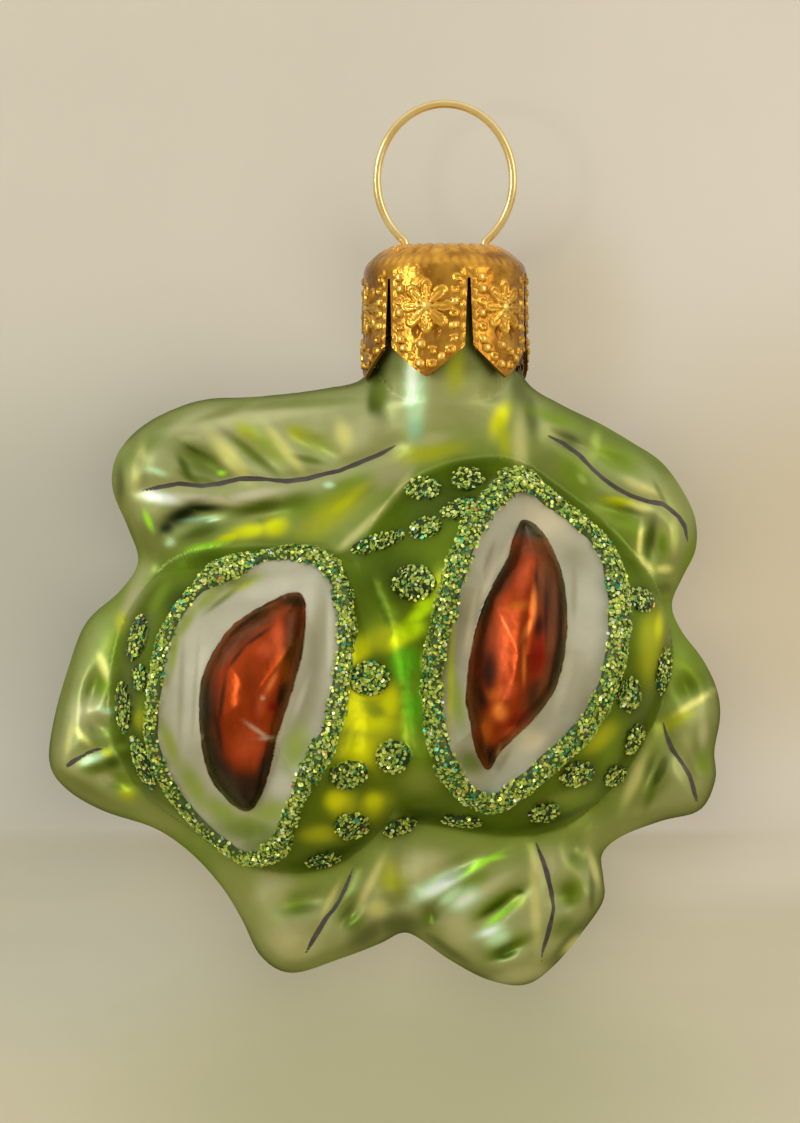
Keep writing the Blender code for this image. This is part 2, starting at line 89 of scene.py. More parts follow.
# Outline of the rosette from the front, as x and z in millimetres, clockwise from the neck's right side.
OUTLINE = [
    (5.6, -22.3), (6.6, -23.3), (8.3, -24.4), (10.5, -25.6), (13.2, -26.9), (15.9, -28.5), (18.3, -30.1),
    (20.1, -32.5), (21.2, -35.0), (21.2, -37.6), (20.1, -39.9), (19.2, -42.2), (20.0, -44.4), (21.8, -46.8),
    (23.0, -49.3), (23.3, -51.7), (22.8, -54.6), (22.9, -57.0), (21.6, -59.6), (18.4, -60.5), (15.0, -61.8),
    (13.3, -63.3), (13.4, -65.3), (13.4, -67.3), (11.5, -70.1), (9.2, -72.8), (6.8, -74.4), (3.7, -74.0),
    (0.4, -72.3), (-2.3, -70.4), (-3.7, -70.0), (-5.5, -70.9), (-8.9, -72.2), (-13.0, -73.4), (-15.6, -72.0),
    (-17.2, -68.9), (-19.0, -66.0), (-21.7, -63.1), (-24.7, -61.1), (-28.9, -59.7), (-32.0, -57.9),
    (-33.5, -55.7), (-33.2, -52.2), (-32.0, -47.8), (-30.4, -43.7), (-27.5, -41.0), (-26.0, -38.5),
    (-26.9, -35.6), (-28.2, -32.3), (-27.7, -29.3), (-25.1, -26.7), (-20.8, -24.9), (-16.2, -24.6),
    (-11.5, -24.1), (-8.2, -23.5), (-6.6, -23.0), (-5.5, -22.1),
]
# Foot of each husk, the middle of each glitter ring, and the edge of each nut.
RIGHT_HUSK = [
    (2.0, -29.8), (6.2, -30.1), (9.6, -32.3), (13.3, -35.2), (16.7, -39.1), (18.7, -43.4), (18.9, -47.5),
    (17.3, -52.5), (14.4, -57.2), (10.2, -60.7), (5.4, -61.7), (0.4, -61.0), (-3.6, -60.0), (-6.4, -56.5),
    (-6.6, -51.0), (-7.2, -45.1), (-7.8, -39.0), (-5.1, -33.8), (-1.7, -30.9),
]
LEFT_HUSK = [
    (-7.6, -38.1), (-12.2, -37.2), (-17.2, -37.2), (-21.4, -37.8), (-24.7, -40.1), (-27.1, -43.9),
    (-28.2, -49.3), (-27.8, -53.9), (-25.6, -57.8), (-21.8, -60.8), (-17.6, -63.7), (-13.0, -64.8),
    (-9.0, -64.0), (-5.4, -61.0), (-3.4, -56.5), (-3.4, -50.0), (-4.8, -43.0),
]
RIGHT_RING = [
    (6.3, -31.7), (8.5, -33.4), (11.2, -35.5), (13.3, -37.8), (14.2, -41.3), (14.1, -45.0), (13.2, -48.9),
    (11.4, -52.2), (8.5, -55.0), (5.9, -57.3), (3.7, -58.6), (1.3, -57.3), (-0.4, -54.2), (-1.1, -50.3),
    (-1.0, -46.8), (-0.1, -42.7), (1.0, -38.6), (2.7, -34.9), (4.7, -32.7),
]
LEFT_RING = [
    (-12.1, -38.0), (-9.8, -38.9), (-8.5, -41.7), (-8.3, -45.0), (-8.8, -48.5), (-9.5, -52.3), (-11.1, -55.5),
    (-12.7, -58.9), (-14.1, -62.3), (-16.4, -63.3), (-18.9, -61.8), (-21.5, -59.2), (-23.4, -56.2),
    (-24.3, -52.9), (-24.0, -49.2), (-23.3, -45.2), (-21.6, -42.1), (-19.1, -39.7), (-15.8, -38.4),
]
RIGHT_NUT = [
    (6.2, -35.2), (7.9, -36.0), (9.3, -38.6), (9.9, -41.7), (9.8, -45.4), (8.9, -49.1), (6.8, -51.9),
    (4.6, -54.0), (3.5, -55.7), (2.6, -54.6), (2.0, -52.1), (1.6, -49.5), (2.2, -45.0), (3.4, -41.3),
    (5.0, -38.3),
]
LEFT_NUT = [
    (-12.7, -41.1), (-11.7, -42.0), (-11.8, -45.4), (-12.7, -49.2), (-13.9, -52.9), (-14.7, -56.2),
    (-15.7, -58.6), (-16.9, -59.3), (-18.5, -58.0), (-19.9, -55.6), (-20.4, -51.2), (-20.0, -47.7),
    (-18.0, -44.2), (-15.2, -42.2),
]
NUT_RIDGE = [(7.0, -37.5), (6.6, -44.0), (5.4, -52.5)]
# Painted midribs of the front leaves, and the soft creases between neighbouring leaves.
RIBS = [
    [(-25.8, -32.6), (-24.1, -32.3), (-22.4, -32.0), (-20.5, -32.2), (-19.0, -32.0), (-17.3, -31.6),
     (-15.6, -31.6), (-13.3, -31.8), (-11.7, -31.6), (-10.2, -31.2), (-8.9, -30.9), (-7.6, -30.4),
     (-5.7, -29.6), (-4.0, -28.7)],
    [(8.7, -28.0), (9.9, -28.6), (11.3, -29.6), (12.3, -30.7), (13.3, -31.6), (14.4, -32.4), (15.6, -33.0),
     (17.0, -33.5), (18.3, -33.7), (19.0, -34.2), (19.7, -34.8), (20.2, -35.6), (20.5, -37.0)],
    [(18.3, -52.1), (18.6, -53.2), (19.1, -54.4), (19.9, -55.5), (20.6, -56.6), (21.0, -58.0), (21.5, -59.5)],
    [(7.6, -62.2), (8.2, -63.7), (8.6, -65.0), (8.9, -66.3), (9.1, -67.7), (8.9, -68.8), (8.6, -70.0),
     (8.2, -71.4), (8.1, -72.4)],
    [(-7.8, -64.4), (-8.3, -65.7), (-8.9, -67.0), (-9.4, -67.8), (-10.0, -68.5), (-10.8, -69.8),
     (-11.8, -71.6)],
    [(-28.5, -54.1), (-30.0, -54.6), (-31.2, -55.3), (-31.9, -55.8), (-32.6, -56.5)],
]
CREASES = [
    [(-3.7, -70.0), (-4.2, -61.5)], [(13.3, -64.0), (12.0, -58.0)], [(19.2, -42.2), (17.0, -43.0)],
    [(-22.0, -62.8), (-20.0, -60.0)], [(-26.0, -38.5), (-22.0, -40.0)],
]
# The saddle between the husks. It is smoothed by a mean of the heights beside each point: how far to the
# side, and the weight there.
VALLEY = [(-8.2, -39.5), (-6.2, -43.5), (-5.3, -49.0), (-5.0, -57.0)]
VALLEY_WIDTH = 3.6
VALLEY_LIFT = 0.5
SOFTENING = [(-2.6, 0.12), (-1.7, 0.16), (-0.8, 0.2), (0.0, 0.04), (0.8, 0.2), (1.7, 0.16), (2.6, 0.12)]
# Glue dots and dashes on the husks: x, z, half length, half width, angle in degrees.
DOTS = [
    (-1.9, -32.4, 1.4, 0.9, 0), (1.8, -31.6, 1.3, 0.9, 0), (1.2, -34.1, 1.6, 0.7, 15),
    (-1.8, -35.7, 1.3, 0.8, 20), (-5.7, -36.9, 2.3, 0.6, 18), (-2.7, -40.3, 1.7, 1.4, 0),
    (-6.3, -48.2, 1.6, 1.4, 0), (-4.4, -54.7, 1.4, 1.3, 0), (-8.0, -56.2, 1.5, 1.1, 10),
    (-7.8, -60.6, 1.4, 1.1, 0), (-3.8, -60.9, 1.4, 0.6, 25), (-10.3, -63.6, 1.4, 0.6, 12),
    (16.3, -41.7, 1.2, 0.9, -25), (15.2, -49.6, 1.0, 1.4, 0), (10.9, -56.2, 1.4, 1.0, 15),
    (15.8, -53.5, 0.7, 1.4, -20), (14.2, -56.5, 1.0, 0.8, 35), (8.2, -59.5, 1.3, 0.8, 10),
    (1.3, -60.3, 1.7, 0.5, -5), (18.3, -47.7, 0.6, 1.9, -8), (-25.8, -44.9, 0.7, 1.9, -15),
    (-25.5, -48.2, 0.6, 1.1, 0), (-27.0, -50.7, 0.6, 2.1, 3), (-25.3, -55.4, 0.7, 2.3, 20),
]
# Dimples pressed into the leaves between their veins, in the same form as the dots.
DIMPLES = [
    (-20.6, -30.2, 2.9, 1.1, -28), (-15.7, -29.7, 3.2, 1.2, -36), (-11.0, -28.9, 2.6, 1.0, -30),
    (-21.0, -34.9, 2.9, 1.0, 12), (-15.4, -34.6, 2.4, 0.9, 15), (14.2, -30.0, 2.2, 1.2, -25),
    (17.6, -37.2, 1.1, 2.0, 0), (14.8, -34.4, 2.2, 0.9, -20), (10.6, -28.4, 1.9, 0.8, -30),
    (20.5, -49.2, 1.2, 2.0, 25), (17.6, -56.0, 0.8, 2.2, -20), (5.0, -67.4, 2.6, 0.8, 42),
    (5.0, -71.4, 2.0, 0.7, 25), (0.8, -64.3, 2.2, 0.8, 30), (-1.3, -68.3, 0.8, 0.9, 0),
    (10.3, -66.5, 1.2, 1.2, 0), (11.1, -62.7, 1.0, 1.2, 30), (10.3, -69.9, 1.5, 0.7, 40),
    (-11.8, -67.1, 2.2, 1.0, 12), (-8.0, -68.2, 1.5, 0.7, 50), (-29.7, -49.3, 0.8, 1.9, -15),
    (-29.3, -52.4, 1.2, 0.9, -30), (-27.7, -57.0, 1.5, 1.0, -20),
]
# The back's veins run from its middle to the tips of the leaves.
LEAF_TIPS = [(-28.2, -31.0), (-33.4, -55.9), (-13.2, -73.2), (6.4, -74.3), (22.6, -58.4), (21.2, -36.5)]
BACK_HUB = (-4.5, -49.5)
BACK_DOME = 6.2


def smooth_loop(points, steps):
    """A closed Catmull-Rom curve through the points."""
    b = np.array(points, float)
    a = np.roll(b, 1, 0)
    c = np.roll(b, -1, 0)
    d = np.roll(b, -2, 0)
    rows = []
    for t in np.arange(steps) / steps:
        square = (2 * a - 5 * b + 4 * c - d) * t**2
        cube = (3 * b - a - 3 * c + d) * t**3
        rows.append(0.5 * (2 * b + (c - a) * t + square + cube))
    return np.stack(rows, 1).reshape(-1, 2)


def from_line(x, z, line, closed=False):
    """Distance of each point from a line, and whether it lies inside the line when that is closed."""
    starts = np.array(line, float)
    ends = np.roll(starts, -1, 0)
    if not closed:
        starts, ends = starts[:-1], ends[:-1]
    nearest = np.full(x.shape, 1e9)
    inside = np.zeros(x.shape, bool)
    for (ax, az), (bx, bz) in zip(starts, ends):
        ex, ez = bx - ax, bz - az
        t = np.clip(((x - ax) * ex + (z - az) * ez) / (ex * ex + ez * ez), 0, 1)
        nearest = np.minimum(nearest, np.hypot(x - ax - t * ex, z - az - t * ez))
        if az != bz:
            inside ^= ((az > z) != (bz > z)) & (x < ax + (z - az) * ex / ez)
    return nearest, inside


def depth_inside(x, z, loop):
    distance, inside = from_line(x, z, loop, closed=True)
    return np.where(inside, distance, -distance)


def groove(x, z, line, width):
    return np.exp(-((from_line(x, z, line)[0] / width) ** 2))


def blend(a, b, k):
    """The larger of the two, rounded where they meet."""
    return np.maximum(a, b) + np.maximum(k - np.abs(a - b), 0) ** 2 / (4 * k)


def mound(depth, width, power):
    """A rounded profile from 0 at the rim to 1 at the width."""
    u = np.clip(depth / width, 0, 1)
    return (1 - (1 - u) ** 2) ** power


def ellipse(x, z, spot):
    """0 at a spot's middle and 1 at its edge."""
    middle_x, middle_z, length, width, angle = spot
    c = math.cos(math.radians(angle))
    s = math.sin(math.radians(angle))
    along = (x - middle_x) * c + (z - middle_z) * s
    across = (z - middle_z) * c - (x - middle_x) * s
    return (along / length) ** 2 + (across / width) ** 2


OUTLINE, RIGHT_HUSK, LEFT_HUSK, RIGHT_NUT, LEFT_NUT = [
    smooth_loop(loop, 6) for loop in (OUTLINE, RIGHT_HUSK, LEFT_HUSK, RIGHT_NUT, LEFT_NUT)
]
RIGHT_RING, LEFT_RING = smooth_loop(RIGHT_RING, 8), smooth_loop(LEFT_RING, 8)
HUSKS = ((RIGHT_HUSK, RIGHT_RING, RIGHT_NUT, RIGHT_DOME), (LEFT_HUSK, LEFT_RING, LEFT_NUT, LEFT_DOME))


def leaves(x, z):
    """Half thickness of the rosette, its edge rolled and the neck running into it, and the depth inside."""
    depth = depth_inside(x, z, OUTLINE)
    height = EDGE * mound(depth, EDGE, 0.5) + PLATE_SLOPE * np.clip(depth - EDGE, 0, 12)
    neck = np.sqrt(np.clip((NECK - 0.1) ** 2 - x**2, 0, None)) * np.clip(1.92 + z / 26, 0, 1)
    return blend(height, np.where(depth > 0, neck * np.clip(depth / 3, 0, 1), 0), NECK_BLEND), depth


def glue_rise(x, z):
    """The domed skin of each glue dot."""
    rise = np.zeros_like(x)
    for spot in DOTS:
        rise = np.maximum(rise, DOT_RISE * mound(1 - ellipse(x, z, spot), 1.0, 0.6))
    return rise


def pressed_front(x, z):
    """Height of the glass towards the viewer, as the two halves of the mould give it."""
    height, depth = leaves(x, z)
    husks = np.zeros_like(x)
    for husk, ring, nut, top in HUSKS:
        foot = depth_inside(x, z, husk)
        dome = PLATE + top * mound(foot, DOME_WIDTH, 0.78)
        dome -= FIELD_DEPTH * mound(depth_inside(x, z, ring) - 0.4, FIELD_WIDTH, 1.0)
        dome += NUT_RISE * mound(depth_inside(x, z, nut), NUT_WIDTH, 0.62)
        husks = blend(husks, np.where(foot > 0, dome, 0), HUSK_BLEND)
    relief = np.zeros_like(x)
    for spot in DIMPLES:
        place = ellipse(x, z, spot)
        relief -= DIMPLE_DEPTH * np.exp(-1.1 * place) - DIMPLE_LIP * np.exp(-0.3 * place)
    for line in RIBS:
        relief -= 0.35 * groove(x, z, line, 0.7)
    for line in CREASES:
        relief -= 0.9 * groove(x, z, line, 1.5)
    height += relief * np.clip(depth / EDGE_FADE, 0, 1)
    husks += 0.5 * groove(x, z, NUT_RIDGE, 1.1)
    return blend(height, husks, 1.0)


def front(x, z):
    """Height towards the viewer, with the saddle between the husks drawn soft by the heat."""
    height = pressed_front(x, z)
    soft = groove(x, z, VALLEY, VALLEY_WIDTH)
    near = soft > 0.02
    if near.any():
        beside = [weight * pressed_front(x[near] + shift, z[near]) for shift, weight in SOFTENING]
        height[near] += soft[near] * (sum(beside) + VALLEY_LIFT * soft[near] - height[near])
    return height


def back(x, z):
    """Height of the glass away from the viewer: the same leaves over a low dome."""
    height, depth = leaves(x, z)
    away = np.hypot((x + 4.0) / 21.0, (z + 49.0) / 18.5)
    dome = BACK_DOME * np.clip(1 - away**2, 0, 1) ** 1.3
    relief = np.zeros_like(x)
    from_x, from_z = x - BACK_HUB[0], z - BACK_HUB[1]
    for tip_x, tip_z in LEAF_TIPS:
        reach_x, reach_z = tip_x - BACK_HUB[0], tip_z - BACK_HUB[1]
        length = math.hypot(reach_x, reach_z)
        along = (from_x * reach_x + from_z * reach_z) / length
        across = np.abs(from_z * reach_x - from_x * reach_z) / length
        leaf = np.clip((along - 5) / 4, 0, 1) * np.clip((length - along) / 3, 0, 1)
        leaf *= np.clip(1 - across / 8, 0, 1)
        veins = np.clip(across / 1.5, 0, 1) * np.cos(2 * math.pi * (along - 0.75 * across) / 4.4)
        relief += leaf * (0.28 * veins - 0.5 * np.exp(-((across / 0.8) ** 2)))
    return height + relief * np.clip(depth / EDGE_FADE, 0, 1) + dome


def read_points(mesh):
    flat = np.empty(len(mesh.vertices) * 3)
    mesh.vertices.foreach_get("co", flat)
    return flat.reshape(-1, 3)


def blow_into_mould(mesh):
    """The sphere's equator goes to the outline, and its halves to the heights of the front and the back."""
    direction = read_points(mesh)
    direction /= np.linalg.norm(direction, axis=1)[:, None]
    angles = np.radians(np.arange(-180, 180.5, 0.5))
    radii = np.linspace(14, 40, 261)
    rays = depth_inside(
        CENTRE_X + np.outer(np.cos(angles), radii), CENTRE_Z + np.outer(np.sin(angles), radii), OUTLINE
    )
    past = np.argmax(rays < 0, axis=1)
    reach = [np.interp(0, -ray[i - 1 : i + 1], radii[i - 1 : i + 1]) for ray, i in zip(rays, past)]
    around = np.arctan2(direction[:, 2], direction[:, 0])
    flat = np.interp(around, angles, reach) - EDGE
    run = np.arccos(np.clip(np.abs(direction[:, 1]), 0, 1)) * (flat * 2 / math.pi + EDGE)
    rolled = flat + EDGE * np.sin(np.clip((run - flat) / EDGE, 0, math.pi / 2))
    radius = np.where(run < flat, run, rolled)
    x = CENTRE_X + radius * np.cos(around)
    z = CENTRE_Z + radius * np.sin(around)
    near = direction[:, 1] <= 0
    y = np.empty_like(x)
    y[near] = -front(x[near], z[near]) - glue_rise(x[near], z[near])
    y[~near] = back(x[~near], z[~near])
    mesh.vertices.foreach_set("co", (np.stack([x, y, z], 1) * MM).ravel())
    mesh.update()


bpy.ops.object.select_all(action="DESELECT")
bpy.ops.mesh.primitive_ico_sphere_add(subdivisions=7, radius=1.0)
glass = bpy.context.object
glass.name = "blown_glass"
# The front carries the finer work, so its faces are split once more.
bpy.ops.object.mode_set(mode="EDIT")
bpy.ops.mesh.select_mode(type="FACE")
bpy.ops.mesh.select_all(action="DESELECT")
bpy.ops.object.mode_set(mode="OBJECT")
face_y = np.array([face.center.y for face in glass.data.polygons])
glass.data.polygons.foreach_set("select", face_y < FINE_FROM)
bpy.ops.object.mode_set(mode="EDIT")
bpy.ops.mesh.subdivide(number_cuts=1)
bpy.ops.mesh.select_all(action="SELECT")
bpy.ops.mesh.quads_convert_to_tris()
bpy.ops.object.mode_set(mode="OBJECT")
blow_into_mould(glass.data)

# The neck is a plain tube with a fire-rounded lip and a blind bore.
neck_profile = [
    (0.0, -26.0), (4.7, -26.0), (4.9, -25.0), (4.9, -13.3), (5.1, -12.95), (5.5, -12.8), (5.85, -12.9),
    (NECK - 0.02, -13.2), (NECK, -18.0), (NECK - 0.05, -22.4), (NECK - 0.3, -24.5), (NECK - 0.9, -27.0),
    (NECK - 1.7, -30.0), (0.0, -31.0),
]


def add_mesh(name, points, faces, edges=()):
    """A new object from points in millimetres."""
    mesh = bpy.data.meshes.new(name)
    mesh.from_pydata((np.array(points) * MM).tolist(), list(edges), faces)
    thing = bpy.data.objects.new(name, mesh)
    bpy.context.collection.objects.link(thing)
    return thing


def pick(thing):
    """Selects one object alone and makes it the active one."""
    bpy.ops.object.select_all(action="DESELECT")
    thing.select_set(True)
    bpy.context.view_layer.objects.active = thing


def close_shell(thing, doubles):
    """Merges points closer than the given distance, and turns the faces outwards."""
    pick(thing)
    bpy.ops.object.mode_set(mode="EDIT")
    bpy.ops.mesh.select_all(action="SELECT")
    if doubles:
        bpy.ops.mesh.remove_doubles(threshold=doubles)
    bpy.ops.mesh.normals_make_consistent(inside=False)
    bpy.ops.object.mode_set(mode="OBJECT")


def turned(name, outline, steps):
    """A solid turned about the z axis from (radius, z) points in millimetres, both ends on the axis."""
    edges = [(i, i + 1) for i in range(len(outline) - 1)]
    thing = add_mesh(name, [(r, 0.0, z) for r, z in outline], [], edges)
    pick(thing)
    bpy.ops.object.mode_set(mode="EDIT")
    bpy.ops.mesh.select_all(action="SELECT")
    bpy.ops.mesh.spin(steps=steps, angle=2 * math.pi, center=(0, 0, 0), axis=(0, 0, 1))
    bpy.ops.object.mode_set(mode="OBJECT")
    close_shell(thing, 1e-6)
    return thing


def apply_modifiers(thing):
    pick(thing)
    for modifier in list(thing.modifiers):
        bpy.ops.object.modifier_apply(modifier=modifier.name)


def join_solid(thing, other, operation):
    """Joins another solid to this one, or cuts it out, and removes the other."""
    boolean = thing.modifiers.new(other.name, "BOOLEAN")
    boolean.operation = operation
    boolean.object = other
    apply_modifiers(thing)
    bpy.data.objects.remove(other)


join_solid(glass, turned("neck", neck_profile, 96), "UNION")

# The weld between the neck and the leaves is softened, as fire leaves it.
points = read_points(glass.data) / MM
WELD_TOP, WELD_FOOT, WELD_HALF = -22.6, -29.5, 9.0
near_weld = (points[:, 2] > WELD_FOOT) & (points[:, 2] < WELD_TOP) & (np.abs(points[:, 0]) < WELD_HALF)
weld_group = glass.vertex_groups.new(name="weld")
weld_group.add(np.flatnonzero(near_weld).tolist(), 1.0, "REPLACE")
soften = glass.modifiers.new("soften", "SMOOTH")
soften.factor = 0.6
soften.iterations = 14
soften.vertex_group = "weld"
apply_modifiers(glass)
glass.data.shade_smooth()

# The painter's guides: how deep a point lies in a husk, field, nut or dot, and how far from a midrib.
points = read_points(glass.data) / MM
px, py, pz = points.T
on_front = py < 0.5
FAR = -20.0
RIB_THIN = 0.13
RIB_END = 1.5
BACK_RIB_EXTRA = 0.12
BACK_RIB_THIN = 0.2
BACK_RIB_BOW = 0.04
BACK_RIB_START = 0.32


def rib_taper(x, z, line):
    """0 along a brush line and 1 at its ends, where the brush lifts."""
    ends = [np.hypot(x - end_x, z - end_z) for end_x, end_z in (line[0], line[-1])]
    return np.clip(1 - np.minimum(*ends) / RIB_END, 0, 1)


def back_rib_line(tip, side):
    """A brush line from the middle of the back to a leaf's tip, bowed to one side and not quite steady."""
    reach_x, reach_z = tip[0] * 0.97 - BACK_HUB[0], tip[1] * 0.99 - BACK_HUB[1]
    line = []
    for t in np.linspace(BACK_RIB_START, 1.0, 9):
        arch = math.sin(math.pi * (t - BACK_RIB_START) / (1 - BACK_RIB_START))
        bow = side * BACK_RIB_BOW * (arch + 0.16 * math.sin(23 * t + tip[0]))
        line.append((BACK_HUB[0] + t * reach_x - bow * reach_z, BACK_HUB[1] + t * reach_z + bow * reach_x))
    return line


back_ribs = [back_rib_line(tip, side) for tip, side in zip(LEAF_TIPS, (1, -1, 1, -1, 1, -1))]
guides = {
    "husk_depth": np.maximum(depth_inside(px, pz, RIGHT_HUSK), depth_inside(px, pz, LEFT_HUSK)),
    "field_depth": np.maximum(depth_inside(px, pz, RIGHT_RING), depth_inside(px, pz, LEFT_RING)),
    "nut_depth": np.maximum(depth_inside(px, pz, RIGHT_NUT), depth_inside(px, pz, LEFT_NUT)),
    "glue_depth": glue_rise(px, pz) - 0.02,
}
guides = {name: np.where(on_front, depth, FAR) for name, depth in guides.items()}
front_rib = np.min([from_line(px, pz, line)[0] + RIB_THIN * rib_taper(px, pz, line) for line in RIBS], 0)
back_rib = np.min([from_line(px, pz, line)[0] for line in back_ribs], 0)
back_taper = np.max([rib_taper(px, pz, line) for line in back_ribs], 0)
back_distance = back_rib - BACK_RIB_EXTRA + BACK_RIB_THIN * back_taper
guides["rib_distance"] = np.where(on_front, front_rib, back_distance)

# The painter's pots, which also give the painted highlights, reflections and shade: each colour as it looks
# in daylight, red, green and blue out of 255.
WHITE = (244, 250, 236)
MINT = (204, 240, 190)
BONE = (210, 202, 168)
BUTTER = (236, 234, 138)
CREAM = (212, 208, 132)
PEARL = (194, 194, 140)
SAND = (178, 174, 126)
SAGE = (150, 158, 88)
PISTACHIO = (178, 196, 90)
CELERY = (148, 164, 70)
OLIVE = (124, 132, 62)
SHADE = (94, 102, 52)
FERN = (114, 132, 52)
RIM_SHADE = (66, 76, 34)
LEAF = (122, 148, 32)
MOSS = (98, 118, 22)
DEEP = (66, 84, 8)
INK = (22, 34, 8)
YELLOW = (228, 232, 14)
STRAW = (186, 192, 30)
ACID = (206, 255, 12)
LIME = (176, 244, 60)
VIVID = (104, 186, 26)
MIST = (104, 116, 66)
TEAL = (130, 200, 168)
CHALK = (202, 198, 176)
ASH = (158, 153, 122)
IVORY = (212, 199, 166)
RUST = (158, 58, 16)
COPPER = (184, 92, 26)
EMBER = (204, 86, 46)
GLOW = (255, 146, 66)
CLAY = (126, 70, 42)
BARK = (88, 46, 26)
UMBER = (56, 39, 31)
SOOT = (50, 30, 22)
SLATE = (84, 78, 70)
WINE = (132, 24, 8)
PITCH = (16, 9, 7)
ROSE = (214, 176, 160)
LEAF_GROUND = (168, 172, 114)
HUSK_GROUND = (98, 120, 18)
FIELD_GROUND = (182, 178, 154)
